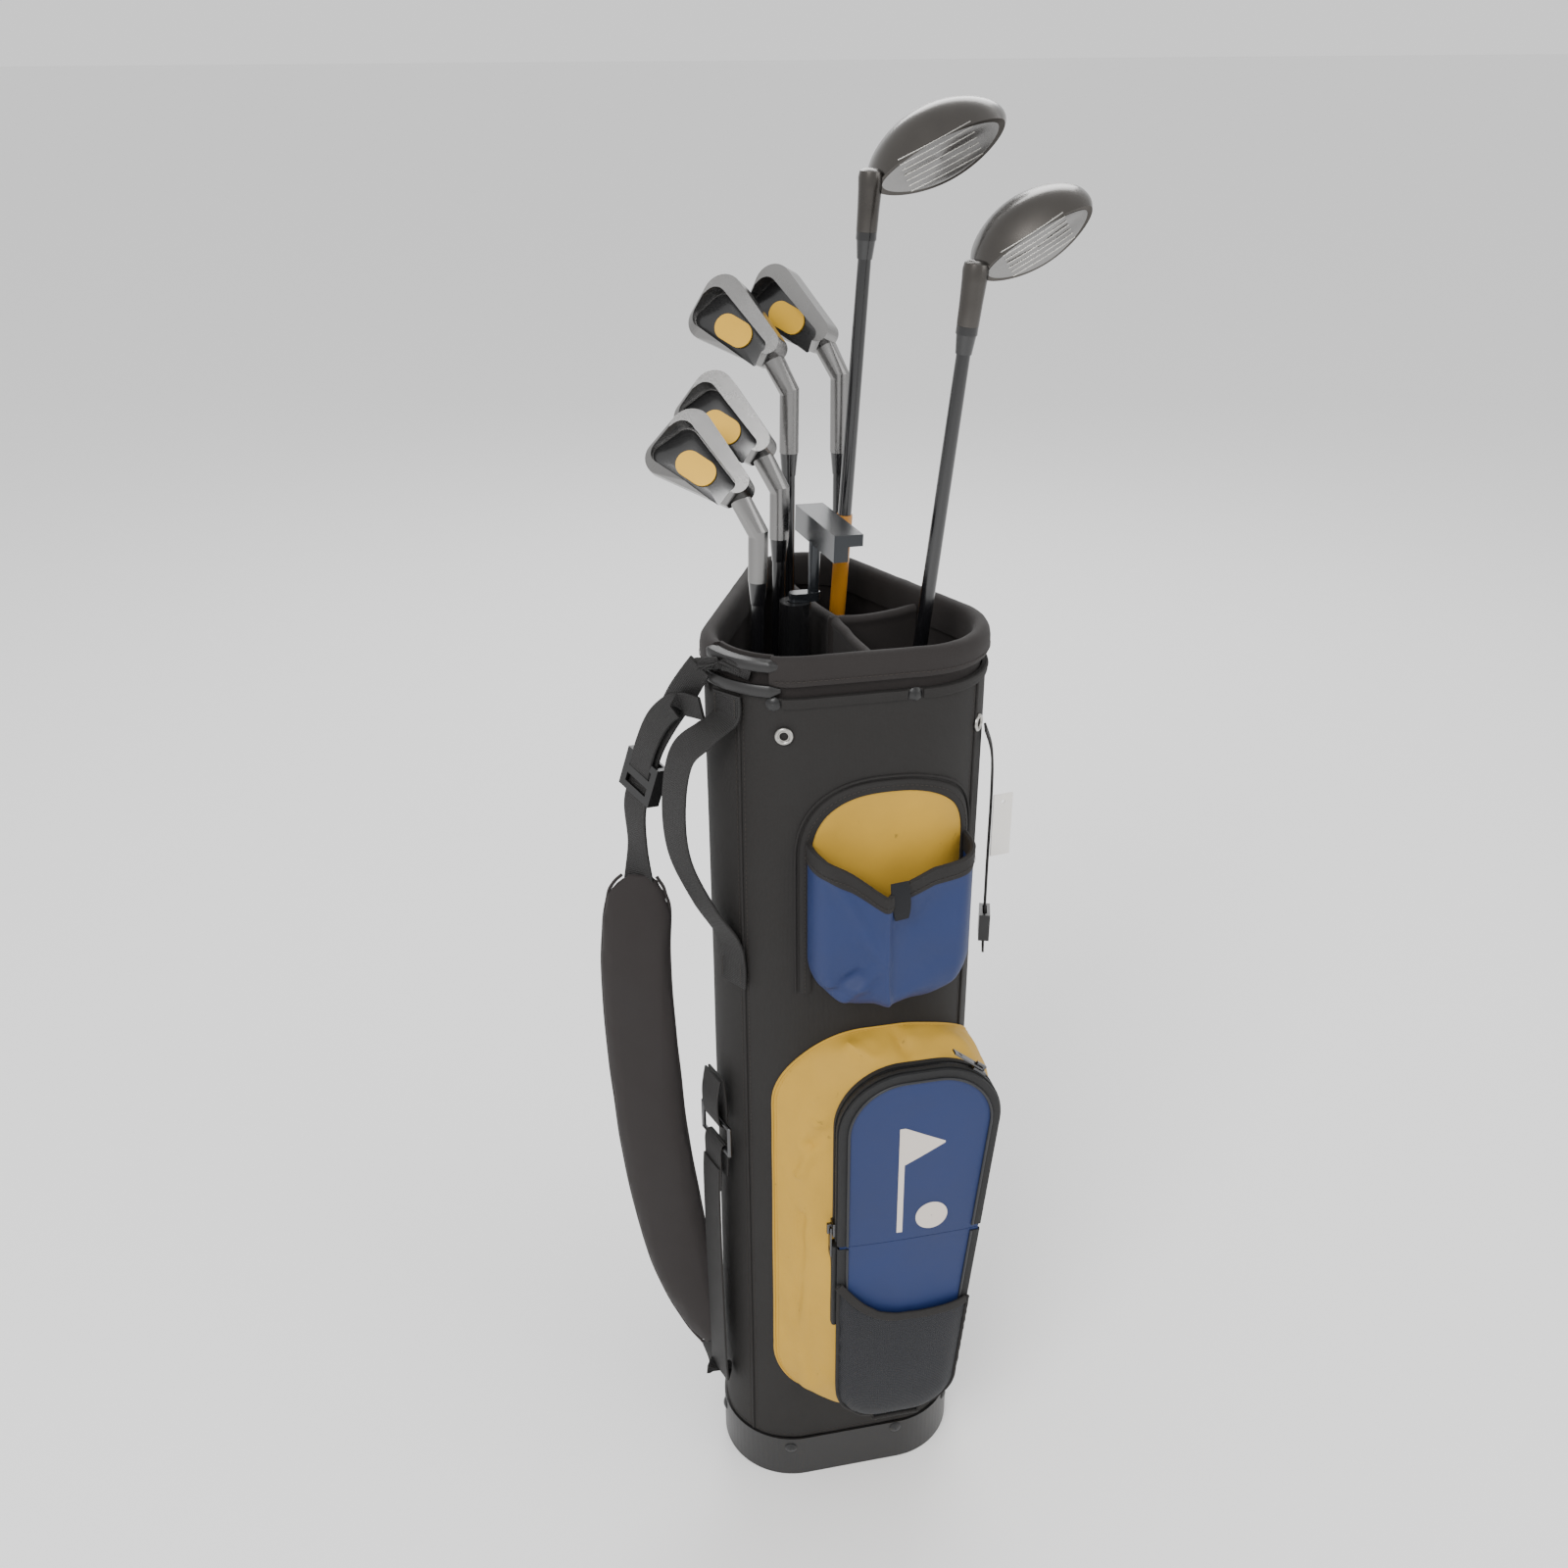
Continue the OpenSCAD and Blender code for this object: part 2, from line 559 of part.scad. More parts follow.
module iron_badge(loft, toe) lay(iron_lie, loft) translate([blade_l * 0.52, face_y + 3.6, -toe * 0.5])
    rotate([0, 20, 0]) hull() for (s = [-6, 6]) rod(s, 0, 9, 0, 2);

// Wood head: lens-shaped sections that swell behind the face and close in a round back
wood_rings = 12;
wood_sides = 28;
function swell(u) = u < 0.28 ? 0.93 + 0.07 * sin(90 * u / 0.28) : sqrt(1 - pow((u - 0.28) / 0.72, 2.4));
function crown(u) = u < 0.22 ? 0.85 + 0.15 * sin(90 * u / 0.22) : pow(1 - pow((u - 0.22) / 0.78, 2), 0.62);
function sole(u) = u < 0.35 ? 0.6 + 0.8 * sin(90 * u / 0.35) : 1.4 * pow(1 - pow((u - 0.35) / 0.65, 2), 0.6);
function wood_point(l, d, h, u, deg) = let (c = cos(deg), s = sin(deg),
    a = l / 2 * swell(u), b = h / 2 * (s > 0 ? sole(u) : crown(u)), bulge = 4 * (1 - u) * (1 - c * c))
    [l / 2 - 11 + 2 * u + a * c, -6 - bulge + d * u, -h / 2 - 1 - 5 * u + b * s * (1 - 0.18 * c * c)];
module wood_shape(l, d, h) {
    n = wood_sides;
    rings = [for (i = [0:wood_rings]) let (u = min(0.985, pow(i / wood_rings, 1.1)))
        [for (k = [0:n - 1]) wood_point(l, d, h, u, 360 * k / n)]];
    sides = [for (i = [0:wood_rings - 1], k = [0:n - 1]) let (p = i * n + k, q = i * n + (k + 1) % n)
        each [[p, q + n, p + n], [p, q, q + n]]];
    last = wood_rings * n;
    middles = [for (r = [rings[0], rings[wood_rings]]) (r[n / 4] + r[n * 3 / 4]) / 2];
    caps = [for (k = [0:n - 1]) let (next = (k + 1) % n)
        each [[last + n, next, k], [last + n + 1, last + k, last + next]]];
    polyhedron(concat([for (r = rings) each r], middles), concat(sides, caps), convexity = 4);
}
wood_hosel = 48;
module wood_head(l, d, h, loft, lie) difference() {
    union() {
        lay(lie, loft) wood_shape(l, d, h);
        translate([0, 0, -wood_hosel]) cylinder(r1 = 7, r2 = 8, h = wood_hosel - 12);
    }
    translate([0, 0, -wood_hosel - 1]) cylinder(r = tip_r + 0.1, h = 31);
}
module wood_ferrule() difference() {
    union() {
        cylinder(r = 6.9, h = 5);
        translate([0, 0, -12]) cylinder(r1 = 5.2, r2 = 6.4, h = 12);
    }
    translate([0, 0, -13]) cylinder(r = tip_r + 0.15, h = 20);
}
module at_sole(at) in_bag(at) translate([0, 0, at[2]]) children();

module driver_head() color(steel) at_sole(driver_at) wood_head(driver_l, 74, 38, 10, 60);
module driver_ferrule() color(graphite) in_bag(driver_at)
    translate([0, 0, driver_at[2] - wood_hosel - 5.1]) wood_ferrule();
module driver_shaft() color(graphite) in_bag(driver_at) shaft(driver_at[2] - wood_hosel, 26);
module driver_grip() color("#1a1a1a") in_bag(driver_at) grip(driver_at[2] - wood_hosel);

module fairway_head() color(steel) at_sole(fairway_at) wood_head(fairway_l, 60, 31, 15, 52);
module fairway_ferrule() color(graphite) in_bag(fairway_at)
    translate([0, 0, fairway_at[2] - wood_hosel - 5.1]) wood_ferrule();
module fairway_shaft() color(graphite) in_bag(fairway_at) shaft(fairway_at[2] - wood_hosel, 26);
module fairway_grip() color("#1a1a1a") in_bag(fairway_at) grip(fairway_at[2] - wood_hosel);

module an_iron_shaft(at) color(graphite) in_bag(at) iron_shaft(at[2] - at[4]);
module an_iron_grip(at) color("#1a1a1a") in_bag(at) grip(at[2] - at[4]);

module iron5_head() color(steel) at_sole(iron5_at) iron_head(27, 48, iron5_at[4]);
module iron5_badge() color("gold") at_sole(iron5_at) iron_badge(27, 48);
module iron5_shaft() an_iron_shaft(iron5_at);
module iron5_grip() an_iron_grip(iron5_at);

module iron7_head() color(steel) at_sole(iron7_at) iron_head(34, 49, iron7_at[4]);
module iron7_badge() color("gold") at_sole(iron7_at) iron_badge(34, 49);
module iron7_shaft() an_iron_shaft(iron7_at);
module iron7_grip() an_iron_grip(iron7_at);

module iron9_head() color(steel) at_sole(iron9_at) iron_head(41, 50, iron9_at[4]);
module iron9_badge() color("gold") at_sole(iron9_at) iron_badge(41, 50);
module iron9_shaft() an_iron_shaft(iron9_at);
module iron9_grip() an_iron_grip(iron9_at);

module wedge_head() color(steel) at_sole(wedge_at) iron_head(46, 52, wedge_at[4]);
module wedge_badge() color("gold") at_sole(wedge_at) iron_badge(46, 52);
module wedge_shaft() an_iron_shaft(wedge_at);
module wedge_grip() an_iron_grip(wedge_at);

// Putter: blade on a cranked neck that stands ahead of the shaft
neck_x = 13;
sleeve_l = 60;
putter_l = 80;
putter_neck_z = putter_at[2] - 62;
module putter_head() color("#55595e") at_sole(putter_at) {
    translate([-34, 10, -18]) cube([putter_l, 10, 18]);
    translate([-34, 19, -8]) cube([putter_l, 11, 8]);
    translate([0, neck_x, -56]) cylinder(r = 4, h = 40);
    translate([0, 0, -58]) hull() for (y = [0, neck_x]) translate([0, y, 0]) cylinder(r = 4.6, h = 6, $fn = 32);
}
module putter_sleeve() color("#121212") in_bag(putter_at) difference() {
    translate([0, 0, putter_neck_z - sleeve_l]) cylinder(r = 10.8, h = sleeve_l + 3.8);
    translate([0, 0, putter_neck_z - sleeve_l - 1]) cylinder(r = tip_r + 0.9, h = sleeve_l + 6);
}
module putter_shaft() color("#2a2a2c") in_bag(putter_at) shaft(putter_neck_z, 3.8);
module putter_grip() color("#1a1a1a") in_bag(putter_at) grip(putter_neck_z);

base_cup();
body_front();
body_right();
body_back();
body_left();
rivets();
top_collar();
top_cuff();
divider();
eyelets();
upper_pocket_front();
upper_pocket_back();
lower_pocket_gusset();
lower_pocket_panel();
mesh_pocket();
pocket_zipper();
carry_handle();
strap_loops();
side_strap();
flap_panel();
flap_emblem();
slider_left();
pull_left();
slider_right();
pull_right();
strap_upper_webbing();
shoulder_pad();
strap_lower_webbing();
tri_glide();
strap_ring();
hang_tag();
cord_lock();
driver_head();
driver_ferrule();
driver_shaft();
driver_grip();
fairway_head();
fairway_ferrule();
fairway_shaft();
fairway_grip();
iron5_head();
iron5_badge();
iron5_shaft();
iron5_grip();
iron7_head();
iron7_badge();
iron7_shaft();
iron7_grip();
iron9_head();
iron9_badge();
iron9_shaft();
iron9_grip();
wedge_head();
wedge_badge();
wedge_shaft();
wedge_grip();
putter_head();
putter_sleeve();
putter_shaft();
putter_grip();
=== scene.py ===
import json
import math

import bmesh
import bpy
import numpy as np
from mathutils import Matrix, Vector, noise


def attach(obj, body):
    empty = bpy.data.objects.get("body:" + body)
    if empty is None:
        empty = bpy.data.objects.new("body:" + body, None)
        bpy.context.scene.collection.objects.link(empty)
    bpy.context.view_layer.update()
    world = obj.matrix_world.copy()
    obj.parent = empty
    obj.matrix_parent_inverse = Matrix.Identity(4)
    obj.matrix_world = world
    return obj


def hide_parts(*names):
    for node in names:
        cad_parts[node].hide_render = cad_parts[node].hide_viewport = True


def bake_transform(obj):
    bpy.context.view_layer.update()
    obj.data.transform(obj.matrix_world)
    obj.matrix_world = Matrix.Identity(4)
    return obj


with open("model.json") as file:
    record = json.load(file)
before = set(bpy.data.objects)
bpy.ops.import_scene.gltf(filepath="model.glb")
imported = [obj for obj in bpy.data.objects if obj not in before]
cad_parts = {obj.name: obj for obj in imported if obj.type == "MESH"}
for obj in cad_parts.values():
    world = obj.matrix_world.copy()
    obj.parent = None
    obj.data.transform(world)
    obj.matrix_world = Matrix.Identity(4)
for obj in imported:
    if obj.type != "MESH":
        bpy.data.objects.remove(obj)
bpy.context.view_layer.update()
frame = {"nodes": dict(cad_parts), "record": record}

# Lengths are in millimetres here and become metres where a mesh is made.
MM = 0.001
scene = bpy.context.scene
nodes = frame["nodes"]


# ---- Materials ----
def linear(code):
    """Linear colour of an sRGB hex code."""
    parts = [int(code[i : i + 2], 16) / 255 for i in (0, 2, 4)]
    return [c / 12.92 if c <= 0.04045 else ((c + 0.055) / 1.055) ** 2.4 for c in parts]


def material(
    name, code, rough, metal=0.0, vary=0.15, patch=16.0, weave=0.0, pitch=1.0,
    grain=0.0, grain_size=0.5, sheen=0.0, coat=0.0, specks=0.0,
):
    """A principled material: patchy colour, woven ribs along the texture map and a fine grain."""
    made = bpy.data.materials.new(name)
    made.use_nodes = True
    tree = made.node_tree
    new, link = tree.nodes.new, tree.links.new
    shader = tree.nodes["Principled BSDF"]
    place = new("ShaderNodeTexCoord")
    cloud = new("ShaderNodeTexNoise")
    cloud.inputs["Scale"].default_value = patch
    cloud.inputs["Detail"].default_value = 8
    cloud.inputs["Roughness"].default_value = 0.62
    link(place.outputs["Object"], cloud.inputs["Vector"])
    blend = new("ShaderNodeMix")
    blend.data_type = "RGBA"
    colour = linear(code)
    blend.inputs[6].default_value = [c * (1 - vary) for c in colour] + [1]
    blend.inputs[7].default_value = [min(1, c * (1 + vary)) for c in colour] + [1]
    link(cloud.outputs["Fac"], blend.inputs[0])
    tint = blend.outputs[2]
    if specks:
        dots = new("ShaderNodeTexNoise")
        dots.inputs["Scale"].default_value = 95
        dots.inputs["Detail"].default_value = 3
        link(place.outputs["Object"], dots.inputs["Vector"])
        ramp = new("ShaderNodeMapRange")
        ramp.inputs["From Min"].default_value = 0.68
        ramp.inputs["From Max"].default_value = 0.76
        ramp.inputs["To Max"].default_value = specks
        link(dots.outputs["Fac"], ramp.inputs["Value"])
        stain = new("ShaderNodeMix")
        stain.data_type = "RGBA"
        stain.inputs[7].default_value = [c * 0.25 for c in colour] + [1]
        link(ramp.outputs[0], stain.inputs[0])
        link(tint, stain.inputs[6])
        tint = stain.outputs[2]
    link(tint, shader.inputs["Base Color"])
    shine = new("ShaderNodeMapRange")
    shine.inputs["To Min"].default_value = max(0.05, rough - 0.08)
    shine.inputs["To Max"].default_value = min(1, rough + 0.08)
    link(cloud.outputs["Fac"], shine.inputs["Value"])
    link(shine.outputs[0], shader.inputs["Roughness"])
    shader.inputs["Metallic"].default_value = metal
    shader.inputs["Coat Weight"].default_value = coat
    shader.inputs["Coat Roughness"].default_value = 0.15
    shader.inputs["Sheen Weight"].default_value = sheen
    shader.inputs["Sheen Roughness"].default_value = 0.5
    heights = []
    if weave:
        for way in ("X", "Y"):
            wave = new("ShaderNodeTexWave")
            wave.bands_direction = way
            wave.inputs["Scale"].default_value = 2 * math.pi / (20 * pitch * MM)
            wave.inputs["Distortion"].default_value = 0.6
            wave.inputs["Detail Scale"].default_value = 0.4
            link(place.outputs["UV"], wave.inputs["Vector"])
            heights.append((wave.outputs["Fac"], weave))
    if grain:
        fine = new("ShaderNodeTexNoise")
        fine.inputs["Scale"].default_value = 1 / (grain_size * MM)
        fine.inputs["Detail"].default_value = 4
        link(place.outputs["Object"], fine.inputs["Vector"])
        heights.append((fine.outputs["Fac"], grain))
    normal = None
    for height, strength in heights:
        bump = new("ShaderNodeBump")
        bump.inputs["Strength"].default_value = strength
        bump.inputs["Distance"].default_value = 0.3 * MM
        link(height, bump.inputs["Height"])
        if normal:
            link(normal, bump.inputs["Normal"])
        normal = bump.outputs["Normal"]
    if normal:
        link(normal, shader.inputs["Normal"])
    return made


# sRGB colour, roughness and the rest of each material slot
LOOK_TABLE = {
    "dark_plastic": ("151414", 0.42, dict(grain=0.25, grain_size=0.6)),
    "black_fabric": ("110e0c", 0.8, dict(vary=0.25, weave=0.3, pitch=0.9)),
    "cuff_fabric": ("16100e", 0.82, dict(vary=0.25, weave=0.25, pitch=0.8, sheen=0.03)),
    "black_plastic": ("0c0c0d", 0.35, dict(grain=0.15)),
    "nickel": ("a9a7a2", 0.3, dict(metal=1.0, grain=0.06)),
    "blue_fabric": ("0c2250", 0.62, dict(vary=0.22, weave=0.2, pitch=0.7)),
    "yellow_fabric": ("b38b26", 0.7, dict(vary=0.2, weave=0.2, pitch=0.7, specks=0.7)),
    "mesh": ("090b12", 0.7, dict(vary=0.2, weave=1.0, pitch=1.7)),
    "zipper_tape": ("0b0b0c", 0.7, dict(weave=0.5, pitch=0.8)),
    "webbing": ("0e0c0b", 0.66, dict(vary=0.25, weave=0.8, pitch=1.5)),
    "pad_fabric": ("1a1413", 0.84, dict(vary=0.2, weave=0.25, pitch=0.8, sheen=0.04)),
    "white_print": ("c8bfb6", 0.6, dict(vary=0.06, grain=0.2)),
    "gunmetal": ("5b5b5c", 0.32, dict(metal=1.0, grain=0.08)),
    "tag_card": ("d9d6d0", 0.6, dict(vary=0.03)),
    "grip_rubber": ("151515", 0.8, dict(grain=0.7, grain_size=0.9)),
    "shaft_graphite": ("0b0b0d", 0.22, dict(vary=0.08, coat=0.6)),
    "dark_steel": ("4a4744", 0.3, dict(metal=0.95, vary=0.25, coat=0.3, grain=0.05)),
    "satin_steel": ("858483", 0.27, dict(metal=1.0, vary=0.1, grain=0.12, grain_size=0.4)),
    "gold_badge": ("c79a22", 0.4, dict(metal=0.3, vary=0.1)),
    "ferrule_black": ("0e0e0f", 0.25, dict(coat=0.5)),
    "putter_grey": ("24272b", 0.25, dict(metal=0.7, coat=0.5, vary=0.1)),
}
LOOKS = {
    name: material(name, code, roughness, **rest)
    for name, (code, roughness, rest) in LOOK_TABLE.items()
}
HOOK = material("hook_tape", "0d0e12", 0.95, grain=0.9, grain_size=0.7)
THREAD = material("thread", "2c2723", 0.8, vary=0.1)
GOLD_LABEL = material("gold_label", "a86f18", 0.4, coat=0.4)
PIPING = material("piping", "17181c", 0.5, vary=0.1)


# ---- Mesh parts: (points, faces, texture corners), in millimetres ----
def unit(v):
    """Vector of length 1."""
    v = np.asarray(v, float)
    return v / np.linalg.norm(v)


def running(points):
    """Distance along a line of points, starting at 0."""
    steps = np.linalg.norm(np.diff(points, axis=0), axis=1)
    return np.concatenate([[0], np.cumsum(steps)])


def at_distance(d, at, points):
    """Row of points interpolated at distance d, where at is the distance of each row."""
    return np.array([np.interp(d, at, column) for column in points.T])


def circle(n):
    """n angles evenly round a circle."""
    return np.linspace(0, 2 * math.pi, n + 1)[:-1]


def lattice(points, wrap=False):
    """Quads over a grid of points; wrap joins its last column to the first."""
    n, m = points.shape[:2]
    middle = points[n // 2]
    s = running(points[:, m // 2])
    t = running(np.vstack([middle, middle[:1]]))
    faces, uvs = [], []
    for i in range(n - 1):
        for j in range(m if wrap else m - 1):
            k = (j + 1) % m
            faces.append((i * m + j, i * m + k, (i + 1) * m + k, (i + 1) * m + j))
            uvs += [(t[j], s[i]), (t[j + 1], s[i]), (t[j + 1], s[i + 1]), (t[j], s[i + 1])]
    return faces, uvs


def normals(points, wrap=False):
    """Unit normal at each point of a grid."""
    down = np.gradient(points, axis=0)
    if wrap:
        across = np.roll(points, -1, axis=1) - np.roll(points, 1, axis=1)
    else:
        across = np.gradient(points, axis=1)
    n = np.cross(across, down)
    return n / np.maximum(np.linalg.norm(n, axis=2, keepdims=True), 1e-9)


def shell(points, thick, wrap=False):
    """A closed skin: the grid of points and a second one thick behind it."""
    n, m = points.shape[:2]
    back = points - normals(points, wrap) * thick
    faces, uvs = lattice(points, wrap)
    off = n * m
    inner = [tuple(v + off for v in reversed(f)) for f in faces]
    inner_uvs = [uv for i in range(0, len(uvs), 4) for uv in reversed(uvs[i : i + 4])]
    rim = []
    for j in range(m if wrap else m - 1):
        k = (j + 1) % m
        rim.append((k, j, j + off, k + off))
        a, b = (n - 1) * m + j, (n - 1) * m + k
        rim.append((a, b, b + off, a + off))
    if not wrap:
        for i in range(n - 1):
            rim.append((i * m, (i + 1) * m, (i + 1) * m + off, i * m + off))
            a, b = i * m + m - 1, (i + 1) * m + m - 1
            rim.append((b, a, a + off, b + off))
    all_points = np.concatenate([points.reshape(-1, 3), back.reshape(-1, 3)])
    return all_points, faces + inner + rim, uvs + inner_uvs + [(0, 0)] * (4 * len(rim))


def rings(points, closed=False):
    """A solid through rings of points; closed joins the last ring to the first."""
    n, m = points.shape[:2]
    if closed:
        looped = np.concatenate([points, points[:1]])
        faces, uvs = lattice(looped, True)
        faces = [tuple(v % (n * m) for v in f) for f in faces]
        return points.reshape(-1, 3), faces, uvs
    faces, uvs = lattice(points, True)
    caps = [tuple(range(m))[::-1], tuple((n - 1) * m + j for j in range(m))]
    return points.reshape(-1, 3), faces + caps, uvs + [(0, 0)] * (2 * m)


def tangents(path, closed=False):
    """Unit direction of a path at each of its points."""
    if closed:
        t = np.roll(path, -1, axis=0) - np.roll(path, 1, axis=0)
    else:
        t = np.gradient(path, axis=0)
    return t / np.maximum(np.linalg.norm(t, axis=1, keepdims=True), 1e-9)


def cord(path, r, sides=10, closed=False):
    """Round cord along a path."""
    path = np.asarray(path, float)
    out = []
    side = None
    for p, t in zip(path, tangents(path, closed)):
        if side is None:
            side = np.cross(t, [0, 0, 1] if abs(t[2]) < 0.9 else [1, 0, 0])
        side = unit(side - t * (side @ t))
        up = np.cross(t, side)
        turns = [2 * math.pi * k / sides for k in range(sides)]
        out.append([p + r * (math.cos(q) * side + math.sin(q) * up) for q in turns])
    return rings(np.array(out), closed)


def smooth(rows, steps):
    """Catmull-Rom curve through rows of numbers."""
    p = np.asarray(rows, float)
    out = []
    for i in range(len(p) - 1):
        a, b, c, d = p[max(i - 1, 0)], p[i], p[i + 1], p[min(i + 2, len(p) - 1)]
        for k in range(steps):
            t = k / steps
            out.append(
                0.5 * (2 * b + (c - a) * t + (2 * a - 5 * b + 4 * c - d) * t * t
                       + (3 * b - a - 3 * c + d) * t**3)
            )
    return np.array(out + [p[-1]])


def rounded(w, t, corner, arc=3):
    """Rounded rectangle w wide and t thick, as points round it."""
    r = min(corner, w / 2 - 0.01, t / 2 - 0.01)
    x, y = w / 2 - r, t / 2 - r
    centres = [(x, y), (-x, y), (-x, -y), (x, -y)]
    return [
        (cx + r * math.cos(a), cy + r * math.sin(a))
        for q, (cx, cy) in enumerate(centres)
        for a in np.linspace(q * math.pi / 2, (q + 1) * math.pi / 2, arc + 1)
    ]


def band(route, steps=6, section=None):
    """A strap along a route of (point, across, width, thickness) rows."""
    flat = smooth([[*p, *unit(a), w, t] for p, a, w, t in route], steps)
    path, across, w, t = flat[:, :3], flat[:, 3:6], flat[:, 6], flat[:, 7]
    out = []
    for p, a, wide, thick, tan in zip(path, across, w, t, tangents(path)):
        a = unit(a - tan * (a @ tan))
        n = np.cross(tan, a)
        shape = section(wide, thick) if section else rounded(wide, thick, thick * 0.45)
        out.append([p + x * a + y * n for x, y in shape])
    return rings(np.array(out))


def brick(centre, size, axes=np.eye(3)):
    """Small box with chosen axes."""
    c = np.asarray(centre, float)
    h = np.asarray(size, float) / 2
    corners = [(x, y, z) for x in (-1, 1) for y in (-1, 1) for z in (-1, 1)]
    ways = [h[i] * np.asarray(axes[i]) for i in range(3)]
    points = np.array([c + sum(k * way for k, way in zip(q, ways)) for q in corners])
    faces = [(0, 1, 3, 2), (4, 6, 7, 5), (0, 4, 5, 1), (2, 3, 7, 6), (0, 2, 6, 4), (1, 5, 7, 3)]
    return points, faces, [(0, 0)] * 24


def stitches(path, out, pitch=3.4, length=2.1, width=0.5):
    """Short threads lying along a path; out is the outward direction at each of its points."""
    path, out = np.asarray(path, float), np.asarray(out, float)
    at = running(path)
    parts = []
    for d in np.arange(pitch / 2, at[-1], pitch):
        p = at_distance(d, at, path)
        q = at_distance(d + 0.5, at, path)
        n = unit(at_distance(d, at, out))
        if np.linalg.norm(q - p) < 1e-6:
            continue
        t = unit(q - p)
        n = unit(n - t * (n @ t))
        parts.append(brick(p, (length, width, 0.4), (t, np.cross(n, t), n)))
    return parts


def piece(name, parts, look, body, replaces=(), sharp=40, own=None):
    """One object from mesh parts; it rides on a body and may stand for CAD nodes."""
    points, faces, uvs, base = [], [], [], 0
    for p, f, uv in parts:
        points.append(np.asarray(p, float))
        faces += [tuple(int(v) + base for v in face) for face in f]
        uvs += list(uv)
        base += len(p)
    data = bpy.data.meshes.new(name)
    data.from_pydata((np.concatenate(points) * MM).tolist(), [], faces)
    layer = data.uv_layers.new(name="UVMap")
    layer.data.foreach_set("uv", (np.array(uvs, np.float32) * MM).ravel())
    work = bmesh.new()
    work.from_mesh(data)
    bmesh.ops.recalc_face_normals(work, faces=work.faces)
    work.to_mesh(data)
    work.free()
    data.polygons.foreach_set("use_smooth", [True] * len(data.polygons))
    data.set_sharp_from_angle(angle=math.radians(sharp))
    data.materials.append(own or LOOKS[look])
    obj = bpy.data.objects.new(name, data)
    scene.collection.objects.link(obj)
    if body:
        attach(obj, body)
    if replaces:
        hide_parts(*replaces)
    return obj


def rough(p, size, seed=0.0):
    """Smooth noise from -1 to 1 with bumps about size long."""
    return noise.noise(Vector([c / s + seed for c, s in zip(p, size)]))


# ---- The tube: a, the distance round it from the middle of its front, and z ----
CORNER_X, CORNER_Y, CORNER_R = 40.0, -59.0, 57.0
BACK_Y, BACK_R = 60.0, 46.0
gap = np.array([CORNER_X, CORNER_Y - BACK_Y])
SIDE = math.atan2(gap[1], gap[0]) + math.acos((BACK_R - CORNER_R) / np.linalg.norm(gap))
SIDE_L = math.sqrt(gap @ gap - (CORNER_R - BACK_R) ** 2)
TURN_END = CORNER_X + CORNER_R * (SIDE + math.pi / 2)
SIDE_END = TURN_END + SIDE_L
HALF = SIDE_END + BACK_R * (math.pi / 2 - SIDE)
FRONT_Y = CORNER_Y - CORNER_R
TOP = 750.0


def rim(a, out=0.0):
    """Plan point (x, y) on the tube, out off it."""
    a = (a + HALF) % (2 * HALF) - HALF
    s, side = abs(a), math.copysign(1, a)
    if s <= CORNER_X:
        return np.array([side * s, FRONT_Y - out])
    if s <= TURN_END:
        q = (s - CORNER_X) / CORNER_R - math.pi / 2
        x, y = CORNER_X + (CORNER_R + out) * math.cos(q), CORNER_Y + (CORNER_R + out) * math.sin(q)
    elif s <= SIDE_END:
        t = s - TURN_END
        n = (math.cos(SIDE), math.sin(SIDE))
        x = CORNER_X + (CORNER_R + out) * n[0] - t * n[1]
        y = CORNER_Y + (CORNER_R + out) * n[1] + t * n[0]
    else:
        q = SIDE + (s - SIDE_END) / BACK_R
        x, y = (BACK_R + out) * math.cos(q), BACK_Y + (BACK_R + out) * math.sin(q)
    return np.array([side * x, y])


def on_tube(a, z, out=0.0):
    """Point (x, y, z) on the tube, out off it."""
    return np.array([*rim(a, out), z])


def outward(a):
    """The tube's outward direction at a."""
    return np.array([*unit(rim(a, 1) - rim(a, 0)), 0.0])


def corner_a(deg):
    """Distance round the tube at an angle of the left front corner."""
    return -(CORNER_X + CORNER_R * math.radians(270 - deg))


def ring_sweep(profile, a0, a1, step=4.0, puff=0.0, seed=0.0):
    """A profile of (out, z) points carried round the tube from a0 to a1."""
    spots = np.linspace(a0, a1, max(3, int((a1 - a0) / step)))
    middle = np.mean(profile, axis=0)
    out = []
    for a in spots:
        grow = 1 + puff * rough((a, 0, 0), (14, 9, 9), seed)
        shape = middle + (np.array(profile) - middle) * grow
        out.append([on_tube(a, z, o) for o, z in shape])
    return rings(np.array(out))


SLOT_A, SLOT_B = corner_a(196), corner_a(246)
LOOP_END = SLOT_A + 2 * HALF


def cloth_out(a, z):
    """How far the bag cloth stands off the tube."""
    soft = 0.55 * rough((a, 0, z), (60, 9, 210), 3.1) + 0.3 * rough((a, 0, z), (22, 9, 90), 7.7)
    lower = 0.5 * math.exp(-(((z - 70) / 45) ** 2)) * rough((a, 0, z), (16, 9, 30), 1.3)
    return 0.35 + soft + lower


CLOTH_FOOT, CLOTH_TOP, CLOTH_T = 42.6, 723, 2.4
spots = np.linspace(-HALF, HALF, 169)[:-1]
heights = np.linspace(CLOTH_FOOT, CLOTH_TOP, 137)
cloth = np.array([[on_tube(a, z, cloth_out(a, z)) for a in spots] for z in heights])
piece(
    "bag_cloth", [shell(cloth, CLOTH_T, wrap=True)], "black_fabric", "bag",
    ["body_front", "body_right", "body_back", "body_left"],
)

